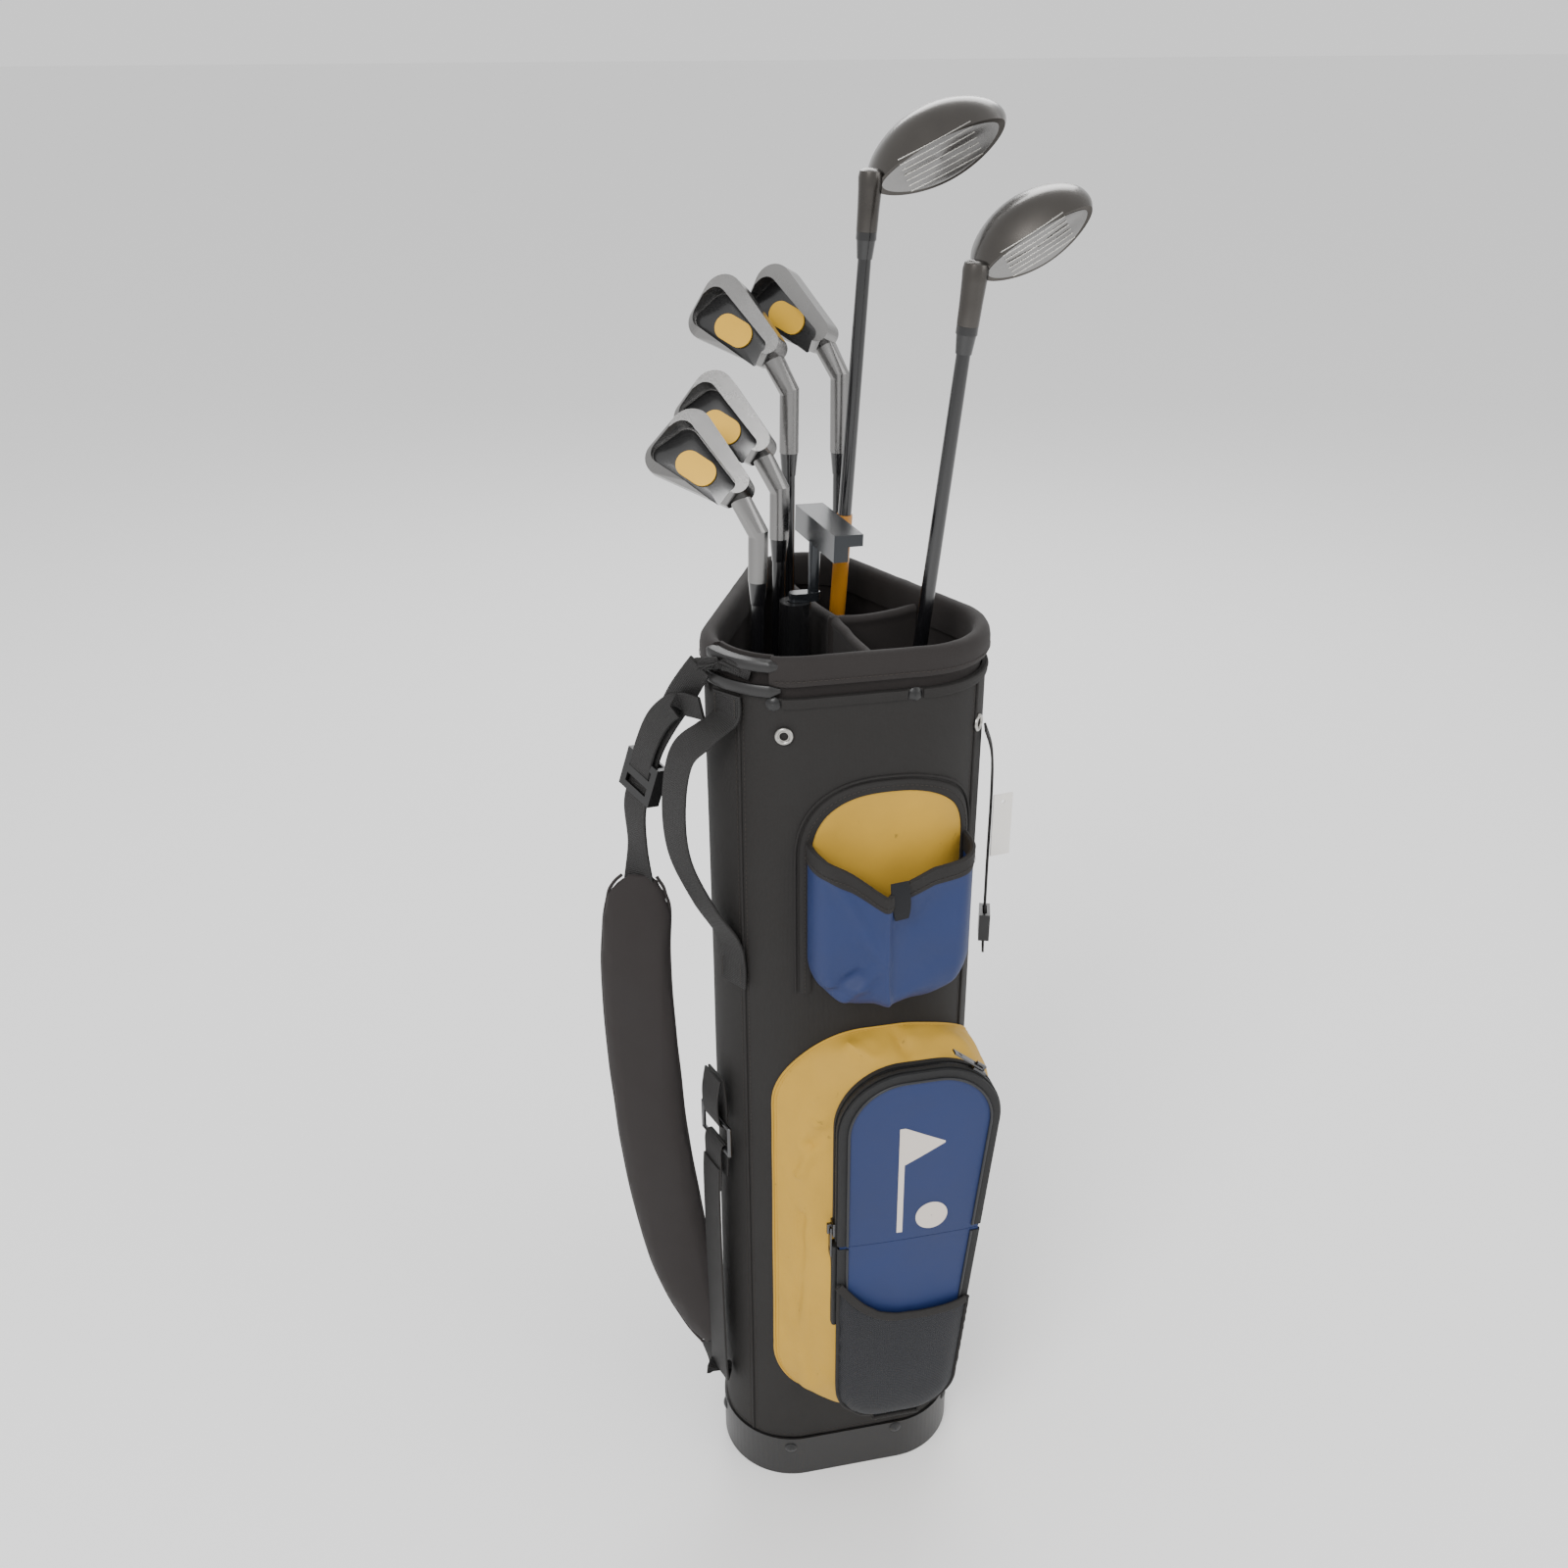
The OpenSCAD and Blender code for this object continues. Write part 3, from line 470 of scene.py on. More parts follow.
SEAM_A = corner_a(223.6)
seams = [SEAM_A, -SEAM_A]
SEAM_FOOT, SEAM_TOP = 44, 722
seam_z = np.linspace(SEAM_FOOT, SEAM_TOP, 120)
piece(
    "corner_piping",
    [cord([on_tube(a, z, cloth_out(a, z) + 0.5) for z in seam_z], 1.0, 8) for a in seams],
    "black_fabric", "bag",
)
threads = []
for a in seams:
    for beside in (-3.2, 3.2):
        line = [on_tube(a + beside, z, cloth_out(a + beside, z) + 0.05) for z in seam_z]
        threads += stitches(line, [outward(a)] * len(line), 3.8, 2.2, 0.4)
base_line = np.linspace(-HALF, HALF, 400)
BASE_SEAM_Z = 45.5
line = [on_tube(a, BASE_SEAM_Z, cloth_out(a, BASE_SEAM_Z) + 0.05) for a in base_line]
threads += stitches(line, [outward(a) for a in base_line], 4.2, 2.4, 0.4)
piece("bag_stitches", threads, "black_fabric", "bag", own=THREAD)

# Sections of the cuff, as (out, z) points
CUFF = [
    (0.4, 731), (1.7, 731.6), (2.6, 734), (2.9, 738), (2.8, 742), (2.0, 746.2), (0.2, 749),
    (-2.6, 750.3), (-5.4, 750.2), (-8.0, 748.8), (-9.5, 745.5), (-9.9, 740), (-9.7, 732),
    (-9.2, 726.5),
    (-7.6, 725.6), (-6.7, 728), (-6.6, 738), (-6.3, 744.4), (-4, 746.4), (-0.8, 745.8), (0.1, 742),
    (0.2, 735),
]
LIP = [
    (-9.3, 726.4), (-7.2, 726), (-6.5, 730), (-6.4, 742), (-5.6, 747.4), (-6.4, 750), (-8.4, 750),
    (-9.6, 746),
    (-9.7, 736),
]
piece(
    "cuff_roll",
    [
        ring_sweep(CUFF, SLOT_B, LOOP_END, 3.2, 0.035, 2.0),
        ring_sweep(LIP, SLOT_A - 1, SLOT_B + 1, 3.0),
    ],
    "cuff_fabric", "bag", ["top_cuff"],
)
CUFF_SEAM_Z, CUFF_SEAM_OUT = 735.4, 3.05
fold = np.linspace(SLOT_B + 3, LOOP_END - 3, 420)
threads = stitches(
    [on_tube(a, CUFF_SEAM_Z, CUFF_SEAM_OUT) for a in fold], [outward(a) for a in fold], 3.6, 2.2,
    0.45,
)
piece("cuff_stitches", threads, "cuff_fabric", "bag", own=THREAD)

# Sections of the two slot rails and of the cloth that lines the mouth
UPPER_RAIL = [
    (-3.4, 742.4), (1.0, 742), (3.6, 742), (4.5, 743.4), (4.6, 747), (3.6, 748.8), (0, 749.4),
    (-3.8, 748.6),
]
LOWER_RAIL = [(1.4, 725), (4.2, 725), (5.0, 726.2), (5.1, 731.4), (4.2, 732.9), (1.6, 732.9)]
LINER = [(-3.0, 744), (-3.0, 640), (-5.4, 640), (-5.6, 744)]


def rail(profile, root):
    """A rail round the strap slot whose ends taper into the cuff."""
    out = []
    for a in np.linspace(SLOT_A - 5, SLOT_B + 7, 40):
        near = min(a - SLOT_A + 5, SLOT_B + 7 - a)
        keep = min(1, 0.3 + near / 9)
        out.append([on_tube(a, root[1] + (z - root[1]) * keep, root[0] + (o - root[0]) * keep)
                    for o, z in profile])
    return rings(np.array(out))


rails = [rail(UPPER_RAIL, (0, 745)), rail(LOWER_RAIL, (0.5, 729))]
piece("slot_rails", rails, "dark_plastic", "bag", ["top_collar"], sharp=50)
liner = [[on_tube(a, z, o) for o, z in LINER] for a in np.linspace(-HALF, HALF, 160)[:-1]]
piece("mouth_liner", [rings(np.array(liner), closed=True)], "cuff_fabric", "bag")

WELT = [
    (0.2, 715.6), (1.6, 716), (2.1, 717.6), (2.0, 719.6), (2.6, 721.2), (2.2, 722.8), (0.9, 723.2),
    (0.2, 722),
]
welts = [
    ring_sweep(WELT, SLOT_B + 8, 27.5, 3.2, 0.05), ring_sweep(WELT, 38.5, LOOP_END - 1, 3.2, 0.05),
]
piece("cuff_welt", welts, "black_fabric", "bag")

# ---- Divider: padded arms with a rolled top ----
HUB = np.array([3.0, -14.0])
ARM_ENDS = [(13.5, FRONT_Y + 9.7), (65.5, -3.0), (-15.0, BACK_Y + BACK_R - 14)]
ROLL_Z, ROLL_R, WALL_T, DIVIDER_Z = 736.0, 3.8, 5.6, 610.0


def arm_section():
    """Section of a divider arm: a roll on a thin wall, as (across, z) points."""
    turn = np.radians(np.linspace(-38, 218, 13))
    roll = [(ROLL_R * math.cos(q), ROLL_Z + ROLL_R * math.sin(q)) for q in turn]
    sides = np.linspace(ROLL_Z - 7, DIVIDER_Z, 9)
    left = [(-WALL_T / 2 + 0.5, z) for z in sides]
    return roll + left + [(-x, z) for x, z in left[::-1]]


arms = []
for end in ARM_ENDS:
    along = np.array(end) - HUB
    length, along = np.linalg.norm(along), unit(along)
    beside = np.array([-along[1], along[0]])
    out = []
    for d in np.linspace(0, length, int(length / 4)):
        lift = -2.2 * math.sin(math.pi * d / length) + 0.6 * rough((d, 0, 0), (13, 9, 9), end[0])
        centre = HUB + along * d
        out.append(
            [[*(centre + beside * x), z + lift * max(0, (z - 690) / 46)] for x, z in arm_section()]
        )
    arms.append(rings(np.array(out)))
hub_rings = [
    [[HUB[0] + r * math.cos(q), HUB[1] + r * math.sin(q), z] for q in circle(24)]
    for r, z in ((5.2, DIVIDER_Z), (5.2, 732), (4.9, 736.4), (3.6, 739), (1.2, 740))
]
piece("divider_pads", arms + [rings(np.array(hub_rings))], "cuff_fabric", "bag", ["divider"])

# ---- Upper pocket ----
UP_X, UP_Z = 18.0, 488.0
ARCH_W, ARCH_Z, ARCH_TOP = 55.0, 603.0, 650.0


def arch(t, grow):
    """Round the arch: t from 0 at the lower left to 1 at the lower right; gives (a, z)."""
    leg = ARCH_Z - UP_Z - 8
    bend = 1.9 * ARCH_W
    d = t * (2 * leg + bend)
    if d < leg:
        return UP_X - ARCH_W - grow, UP_Z + 8 + d
    if d > leg + bend:
        return UP_X + ARCH_W + grow, UP_Z + 8 + (2 * leg + bend - d)
    q = math.pi * (1 - (d - leg) / bend)
    x, y = math.cos(q), math.sin(q)
    return (
        UP_X + (ARCH_W + grow) * math.copysign(abs(x) ** 0.8, x),
        ARCH_Z + (ARCH_TOP - ARCH_Z + grow) * y**0.8,
    )


lining = []
for t in np.linspace(0.02, 0.98, 61):
    a = UP_X - (ARCH_W + 1.5) * math.cos(math.pi * t)
    top = ARCH_Z + (ARCH_TOP - ARCH_Z + 1.5) * math.sin(math.pi * t) ** 0.8
    column = []
    for z in np.linspace(UP_Z + 48, top, 41):
        soft = 0.6 * math.sin(a / 7.5 + z / 90) + 0.5 * rough((a, 0, z), (18, 9, 70), 4.0)
        column.append(on_tube(a, z, 1.7 + soft * min(1, (top - z) / 20)))
    lining.append(column)
piece(
    "pocket_lining", [shell(np.array(lining).transpose(1, 0, 2), 1.0)], "yellow_fabric", "bag",
    ["upper_pocket_back"],
)

trim_t = np.linspace(0, 1, 121)
TRIM = [(0, 1.2), (0.4, 2.6), (3, 3.0), (7, 2.6), (8.2, 1.6), (8.5, 0.6)]
trim = np.array([[on_tube(*arch(t, g), out) for g, out in TRIM] for t in trim_t])
edge = [on_tube(*arch(t, 11.0), 1.0) for t in trim_t]
piece(
    "pocket_arch",
    [shell(trim.transpose(1, 0, 2), 0.5), cord(edge, 0.9, 8)],
    "black_fabric", "bag",
)
thread_line = [on_tube(*arch(t, 4.6), 3.05) for t in trim_t]
piece(
    "arch_stitches",
    stitches(thread_line, [outward(arch(t, 4)[0]) for t in trim_t], 3.4, 2.0, 0.4),
    "black_fabric", "bag", own=THREAD,
)

# Plan of the pouch, as (x, y) points from its left root to its right one
POUCH = [
    (-39.5, -115), (-40.5, -124), (-38.5, -135), (-32, -141.5), (-20, -143.5), (-6, -146),
    (4, -149.6),
    (9, -151.4), (14, -148.4), (24, -145.4), (42, -142.4), (58, -141), (69, -137.5), (75.5, -128),
    (77, -116),
    (76.5, -103.5),
]
plan = smooth(POUCH, 6)
at_plan = running(plan) / running(plan)[-1]


def ridge(x, z, start, end, width, height):
    """Height of a soft crease that runs from start to end."""
    p, a, b = np.array([x, z]), np.array(start, float), np.array(end, float)
    t = np.clip((p - a) @ (b - a) / ((b - a) @ (b - a)), 0, 1)
    d = np.linalg.norm(p - a - t * (b - a))
    return height * (1 - 0.4 * t) * math.exp(-((d / width) ** 2))


# Height of the pouch's mouth, as (x, z) points; creases are (start, end, width, height)
MOUTH = np.array([
    (-40, 617), (-32, 613), (-15, 602), (0, 590), (6, 586), (12, 586.5), (26, 593), (44, 599),
    (62, 601), (78, 606),
])
CREASES = [
    ((-34, 610), (4, 536), 5.5, 2.6), ((-32, 600), (-10, 560), 4.5, -1.6),
    ((-36, 503), (-10, 524), 5.0, -3.2),
    ((-30, 516), (-4, 512), 4.0, 2.4), ((-22, 498), (2, 528), 4.5, 2.2),
    ((10, 492), (9, 584), 4.0, 1.6),
    ((20, 500), (58, 520), 9.0, 1.6), ((30, 560), (66, 590), 12.0, -2.0),
    ((62, 500), (70, 590), 6.0, 1.2),
]
CREASE_GAIN = 1.7


def pouch_point(u, v):
    """Point on the pouch: u along its plan and v up it."""
    x = np.interp(u, at_plan, plan[:, 0])
    y = np.interp(u, at_plan, plan[:, 1])
    mouth = np.interp(x, MOUTH[:, 0], MOUTH[:, 1])
    z = UP_Z + v * (mouth - UP_Z)
    low = min(1, (z - UP_Z) / 42)
    narrow = max(0.5, (1 - (1 - low) ** 2.3) ** 0.5)
    deep = min(1, (z - UP_Z) / 20)
    depth = 0.12 + 0.88 * math.sqrt(1 - (1 - deep) ** 2)
    x = UP_X + (x - UP_X) * narrow
    wall = FRONT_Y
    if abs(x) >= CORNER_X:
        wall = CORNER_Y - math.sqrt(max(0, CORNER_R**2 - (abs(x) - CORNER_X) ** 2))
    inside = math.sin(math.pi * min(1, max(0, u))) ** 0.35
    crease = CREASE_GAIN * sum(ridge(x, z, *c) for c in CREASES) * inside
    soft = 1.3 * rough((x, 0, z), (20, 9, 34), 5.5) * inside
    y = wall - 1.6 + (y - wall + 1.6) * depth - (crease + soft) * depth
    return np.array([x, min(y, wall - 0.9), z])


us = np.linspace(0, 1, 97)
vs = np.concatenate([np.linspace(0, 0.12, 14)[:-1], np.linspace(0.12, 1, 52)])
pouch = np.array([[pouch_point(u, v) for u in us] for v in vs])
piece("pouch_panel", [shell(pouch, 1.6)], "blue_fabric", "bag", ["upper_pocket_front"])

face = normals(pouch)
BIND_ROWS = 6
bind = []
for j in range(len(us)):
    column = pouch[-BIND_ROWS - 1 :, j]
    n = unit(face[-3, j])
    top = column[-1]
    up = np.array([0, 0, 1.0])
    outer = [p + n * (0.5 + 0.5 * math.sin(math.pi * k / 8)) for k, p in enumerate(column)]
    over = [top + n * 1.1 + up * 1.3, top - n * 0.8 + up * 2.4, top - n * 2.7 + up * 1.3]
    inner = [p - n * 2.5 for p in column[::-1][1:]]
    bind.append(outer + over + inner + [column[0] - n * 0.4])
piece("pouch_binding", [rings(np.array(bind))], "black_fabric", "bag")
line = pouch[-BIND_ROWS + 1] + face[-BIND_ROWS] * 1.15
piece(
    "pouch_stitches", stitches(line, face[-BIND_ROWS], 3.2, 2.0, 0.4), "black_fabric", "bag",
    own=THREAD,
)
tab_route = [
    ((17, -147.6, 596), (1, 0.1, 0), 13, 1.6), ((17.5, -149.6, 588), (1, 0.12, 0), 14, 1.8),
    ((18.5, -149.8, 576), (1, 0.1, 0.1), 13, 1.8), ((19, -149, 568), (1, 0.1, 0.1), 10, 1.6),
]
piece("pouch_tab", [band(tab_route, 6)], "black_fabric", "bag", own=HOOK)

# ---- Lower pocket ----
LP_Y, FLAP_Z, PANEL_T = -160.0, 292.0, 2.4
# Corner circles of the front outline, as (x, z, radius)
LP_CIRCLES = [(23, 396, 48), (47, 396, 48), (11, 146, 36), (35, 146, 36)]


def outline(q, grow=0.0):
    """Front outline's point whose outward direction is at angle q."""
    c, s = math.cos(q), math.sin(q)
    x, z, r = max(LP_CIRCLES, key=lambda k: k[0] * c + k[1] * s + k[2])
    return np.array([x + (r + grow) * c, z + (r + grow) * s])


def tube_y(x):
    """Y of the tube's front at x."""
    x = min(abs(x), CORNER_X + CORNER_R - 0.6)
    return FRONT_Y if x < CORNER_X else CORNER_Y - math.sqrt(CORNER_R**2 - (x - CORNER_X) ** 2)


# One loop of the outline, evenly spaced, from the middle of the foot round by the right
turns = np.linspace(-math.pi / 2, 1.5 * math.pi, 1441)[:-1] + 1e-4
dense = np.array([[*outline(q, 0), *outline(q, 14), math.cos(q), math.sin(q)] for q in turns])
dense = np.vstack([dense, dense[:1]])
at_loop = running(dense[:, :2])
LOOP_N = 300
stops = np.linspace(0, at_loop[-1], LOOP_N + 1)[:-1]
loop = np.array([at_distance(d, at_loop, dense) for d in stops])
EDGE, FAR, OUT2 = loop[:, :2], loop[:, 2:4], loop[:, 4:6]
OUT2 = OUT2 / np.linalg.norm(OUT2, axis=1, keepdims=True)
# The gusset widens from the outline grown by 14 (FAR) to its root on the tube (ROOT)
FAR_X, FAR_W, ROOT_X, ROOT_W = 35, 148, 16, 164
GUSSET_CREASES = [
    ((-46, 300), (-50, 190), 3.5, -2.0), ((-34, 395), (-4, 436), 4.0, 3.0),
    ((-40, 372), (-12, 420), 3.5, -2.6),
    ((-10, 450), (16, 440), 3.5, 2.6), ((24, 456), (30, 444), 4.0, -2.4),
    ((-46, 340), (-36, 372), 3.0, 2.0),
    ((60, 452), (84, 430), 5.0, 1.6), ((-30, 150), (-44, 120), 6.0, 1.8),
]


def gusset_point(i, t):
    """Point on the gusset: i round the outline, t from the panel to the tube."""
    x0, z0 = EDGE[i] + OUT2[i] * 0.6
    x1 = ROOT_X + (FAR[i][0] - FAR_X) * ROOT_W / FAR_W
    z1 = FAR[i][1]
    y0 = LP_Y + 12.6 - 8.6 / (1 + math.exp((z0 - FLAP_Z + 12) / 4))
    y1 = tube_y(x1) - 0.2
    x, z, y = x0 + (x1 - x0) * t, z0 + (z1 - z0) * t, y0 + (y1 - y0) * t
    puff = math.sin(math.pi * t)
    creases = sum(ridge(x, z, *c) for c in GUSSET_CREASES)
    soft = 2.2 * rough((x, y, z), (16, 16, 26), 9.0) + 1.8 * creases
    bulge = puff * (2.6 + soft)
    n = np.array([OUT2[i][0], -0.45, OUT2[i][1]])
    return np.array([x, y, z]) + unit(n) * bulge


rows_t = np.linspace(0, 1, 25)
gusset = np.array([[gusset_point(i, t) for i in range(LOOP_N)] for t in rows_t])
piece(
    "pocket_gusset", [shell(gusset[::-1], 1.4, wrap=True)], "yellow_fabric", "bag",
    ["lower_pocket_gusset"],
)
joint_line = np.array([gusset_point(i, 0.97) + np.array([0, -0.6, 0]) for i in range(LOOP_N)])
piece("gusset_seam", [cord(joint_line, 0.8, 8, closed=True)], "yellow_fabric", "bag")
seam_out = [np.array([o[0], -0.8, o[1]]) for o in OUT2]
line = [gusset_point(i, 0.9) + unit(seam_out[i]) * 0.1 for i in range(LOOP_N)]
piece("gusset_stitches", stitches(line, seam_out, 3.4, 2.0, 0.4), "yellow_fabric", "bag")

right_side = EDGE[: LOOP_N // 2]
left_side = EDGE[LOOP_N // 2 :][::-1]


def span(z):
    """Left and right ends of the front outline at a height."""
    return (
        np.interp(z, left_side[:, 1], left_side[:, 0]),
        np.interp(z, right_side[:, 1], right_side[:, 0]),
    )


def edge_distance(x, z):
    """Distance from the front outline."""
    return float(np.min(np.linalg.norm(EDGE - (x, z), axis=1)))


def front_y(x, z):
    """Front of the domed panel."""
    d = edge_distance(x, z)
    return LP_Y - 2.4 * (1 - math.exp(-d / 16)) - 0.5 * rough((x, 0, z), (42, 9, 55), 2.2)


def panel_grid(z0, z1, nx, nz, lean_low, lean_high, depth=front_y, inset=0.6):
    """Grid over the front outline from z0 to z1, with rows closer at a rounded end."""
    t = np.linspace(0, 1, nz)
    if lean_high:
        t = np.sin(t * math.pi / 2)
    if lean_low:
        t = 1 - np.cos(t * math.pi / 2)
    grid = []
    for k in t:
        z = z0 + (z1 - z0) * k
        lo, hi = span(z)
        row = []
        for u in np.linspace(0, 1, nx):
            x = lo + inset + (hi - lo - 2 * inset) * u
            row.append([x, depth(x, z), z])
        grid.append(row)
    return np.array(grid)


flap = panel_grid(FLAP_Z + 0.2, 443.2, 61, 60, False, True)
piece("flap_cloth", [shell(flap, PANEL_T)], "blue_fabric", "pocket_flap", ["flap_panel"])
lower = panel_grid(110.8, FLAP_Z - 0.2, 61, 60, True, False)
piece("lower_cloth", [shell(lower, PANEL_T)], "blue_fabric", "bag", ["lower_pocket_panel"])

rim_line = [(EDGE[i], OUT2[i]) for i in range(LOOP_N)]
upper_part = [k for k in rim_line if k[0][1] > FLAP_Z + 0.4]
from_top = rim_line[LOOP_N // 2 :] + rim_line[: LOOP_N // 2]
lower_part = [k for k in from_top if k[0][1] < FLAP_Z - 0.4]


def piping(part, y, r, out):
    """Cord along part of the front outline at depth y."""
    return cord([[e[0] + o[0] * out, y, e[1] + o[1] * out] for e, o in part], r, 10)


def border(part):
    """Black binding that lies on the panel's front edge."""
    grid = []
    for out, lift in ((0.9, -2.2), (1.2, -0.4), (0.7, 0.7), (-1.0, 1.1), (-3.5, 0.9), (-5.6, 0.5)):
        spots = [e + o * out for e, o in part]
        depths = [front_y(*(e + o * min(out, -0.5))) - lift for e, o in part]
        grid.append([[x, y, z] for (x, z), y in zip(spots, depths)])
    return shell(np.array(grid), 0.5)


for name, part, body in (("flap", upper_part, "pocket_flap"), ("lower", lower_part, "bag")):
    piece(f"{name}_border", [border(part)], "zipper_tape", body)
    piece(f"{name}_piping", [piping(part, LP_Y - 1.6, 1.1, -6.2)], "dark_plastic", body, own=PIPING)

# Zipper: two tapes with a double line of teeth between them
zip_part = [k for k in rim_line if k[0][1] > FLAP_Z + 2]


def zip_strip(y0, y1, out, thick):
    """Strip of tape along the zipper from y0 to y1."""
    grid = np.array([[[e[0] + o[0] * out, y, e[1] + o[1] * out] for e, o in zip_part]
                     for y in np.linspace(y0, y1, 6)])
    return shell(grid, thick)


teeth = []
zip_path = np.array([[e[0], LP_Y + 7, e[1]] for e, o in zip_part])
zip_out = np.array([[o[0], 0, o[1]] for e, o in zip_part])
zip_at = running(zip_path)
for k, d in enumerate(np.arange(0.8, zip_at[-1], 1.5)):
    p = at_distance(d, zip_at, zip_path)
    n = unit(at_distance(d, zip_at, zip_out))
    t = np.cross(n, [0, 1, 0])
    y = 0.5 if k % 2 else -0.5
    teeth.append(brick(p + n * 0.75 + [0, y, 0], (0.85, 2.2, 1.1), (t, (0, 1, 0), n)))
piece(
    "zipper_tapes",
    [zip_strip(LP_Y + 2.0, LP_Y + 5.2, 1.1, 1.0), zip_strip(LP_Y + 8.8, LP_Y + 12.6, 1.1, 1.0),
     zip_strip(LP_Y + 4.8, LP_Y + 9.2, 0.3, 0.8)],
    "zipper_tape", "bag", ["pocket_zipper"],
)
piece("zipper_teeth", teeth, "black_plastic", "bag")
END_X = -27.2
end_tab = [
    ((END_X, LP_Y + 6.2, z), (0, 1, 0), w, 4.2)
    for z, w in ((211, 7.5), (216, 10), (250, 9.4), (291, 9))
]
piece("zipper_end", [band(end_tab, 6)], "zipper_tape", "bag")

# Mesh pocket with a bound, dipping mouth
MESH_FOOT, MESH_PUFF = 108.2, 11.5
MESH_TOP = np.array([
    (-26, 257), (-18, 247), (-8, 235), (5, 225), (20, 220), (40, 218.5), (60, 220), (84, 224),
])


def mesh_mouth(x):
    """Height of the mesh pocket's mouth."""
    return np.interp(x, MESH_TOP[:, 0], MESH_TOP[:, 1])


def mesh_point(u, v):
    """Point on the mesh pocket: u across and v up."""
    x = -22 + 100 * u
    for _ in range(3):
        z = MESH_FOOT + v * (mesh_mouth(x) - MESH_FOOT)
        lo, hi = span(max(z, 110.6))
        x = lo - 0.4 + (hi - lo + 0.8) * u
    d = min(edge_distance(x, z), z - MESH_FOOT + 3)
    full = 1 - 0.55 * v**3
    sag = 0.9 * rough((x, 0, z), (24, 9, 30), 6.6)
    out = (MESH_PUFF * full + sag) * (1 - math.exp(-d / 8))
    return np.array([x, LP_Y - 1.8 - out, z])


mesh_rows = 1 - np.cos(np.linspace(0, 1, 46) * math.pi / 2)
mesh_grid = np.array([[mesh_point(u, v) for u in np.linspace(0, 1, 65)] for v in mesh_rows])
piece("mesh_cloth", [shell(mesh_grid, 1.0)], "mesh", "bag", ["mesh_pocket"])
mouth_line = mesh_grid[-1]
tape = [(p + [0, -0.2, -1.5], (0, 0.1, 1), 7.0, 2.4) for p in mouth_line[::3]]
foot_line = [p + [0, 0.4, 0] for p in mesh_grid[::-1, 0]]
foot_line += list(mesh_grid[0]) + list(mesh_grid[:, -1])
piece("mesh_binding", [band(tape, 2), cord(foot_line, 1.5, 8)], "black_fabric", "bag")

# Print on the flap: a flag on its pole and a ball
PRINT_LIFT, PRINT_T = 0.35, 0.3


def printed(rows, wrap=False):
    """Thin print that lies on the flap, from a grid of (x, z) points."""
    grid = np.array([[[x, front_y(x, z) - PRINT_LIFT, z] for x, z in row] for row in rows])
    return shell(grid, PRINT_T, wrap)


def bar(x0, z0, x1, z1, nx, nz):
    """Grid of (x, z) points over a rectangle."""
    return [[(x, z) for x in np.linspace(x0, x1, nx)] for z in np.linspace(z0, z1, nz)]


pole = bar(19, 300, 23.4, 398, 3, 30)
flag = [[(23.4 + 32 * u * (1 - abs(v)), 381 + 17 * v) for u in np.linspace(0, 1, 12)]
        for v in np.linspace(-0.98, 0.98, 24)]
BALL_X, BALL_Z, BALL_R = 46.0, 312.0, 12.5
ball = [[(BALL_X + r * math.cos(q), BALL_Z + r * math.sin(q)) for q in circle(48)]
        for r in (BALL_R, 9.5, 6, 3, 0.4)]
piece(
    "flap_print", [printed(pole), printed(flag), printed(ball, wrap=True)], "white_print",
    "pocket_flap", ["flap_emblem"],
)

# ---- Handle, straps and shoulder pad ----
ALONG_LEFT = (-0.57, 0.82, 0)
WEB = 2.2
HANDLE = [
    (-88.5, -93.5, 722, 25), (-90, -94.8, 706, 25), (-104, -98, 696, 24), (-120, -92, 678, 23),
    (-126, -89, 640, 23), (-123, -88, 600, 23), (-108, -90, 562, 24), (-93, -94, 536, 25),
    (-89, -94.3, 518, 25), (-88.8, -94, 496, 25),
]
handle_route = [(point, ALONG_LEFT, wide, WEB) for *point, wide in HANDLE]
piece("handle_webbing", [band(handle_route, 12)], "webbing", "bag", ["carry_handle"])
box_stitch = []
for low, high in ((500, 518), (707, 720)):
    for side in (-9, 9):
        line = [
            np.array([-90.6, -96.0, z]) + unit(ALONG_LEFT) * side
            for z in np.linspace(low, high, 12)
        ]
        box_stitch += stitches(line, [(-0.82, -0.57, 0)] * 12, 2.8, 1.8, 0.5)
piece("handle_stitches", box_stitch, "webbing", "bag", own=THREAD)

ACROSS = (0.5, -0.87, 0)
upper_route = [
    ((-104, -82, 738), (0.4, -0.5, 0.1), 18, WEB), ((-111, -68, 719), (0.5, -0.5, 0.3), 20, WEB),
    ((-121, -50, 692), (0.5, -0.8, 0.1), 22, WEB), ((-133, -39, 664), ACROSS, 24, WEB),
    ((-140, -37, 640), ACROSS, 25, WEB), ((-147, -35, 616), ACROSS, 25, WEB),
    ((-147, -38, 585), (0.5, -0.8, 0), 22, WEB), ((-148, -41, 556), (0.8, -0.5, 0), 24, WEB),
]
pleats = []
for k, deg in enumerate((212, 219, 226, 233)):
    q = math.radians(deg)
    root = (-40 + 58.6 * math.cos(q), -59 + 58.6 * math.sin(q), 737.6)
    tip = np.array([-104, -82, 738]) + unit((0.4, -0.5, 0.1)) * (-6 + 4 * k) + [0, 0, 0.5 * k]
    way = (-math.sin(q), math.cos(q), 0)
    rise = (root + tip) / 2 + np.array([-1.5, -1.0, 2.6 + 0.5 * k])
    last = tip + np.array([-4, 8, -11])
    pleats.append(
        band([(root, way, 9, 1.2), (rise, way, 9, 1.2), (tip, (0.4, -0.5, 0.1), 7.5, 1.2),
              (last, (0.45, -0.5, 0.2), 6.5, 1.2)], 8)
    )
fan = piece("strap_pleats", pleats, "webbing", None, ["strap_loops"])
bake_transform(fan)
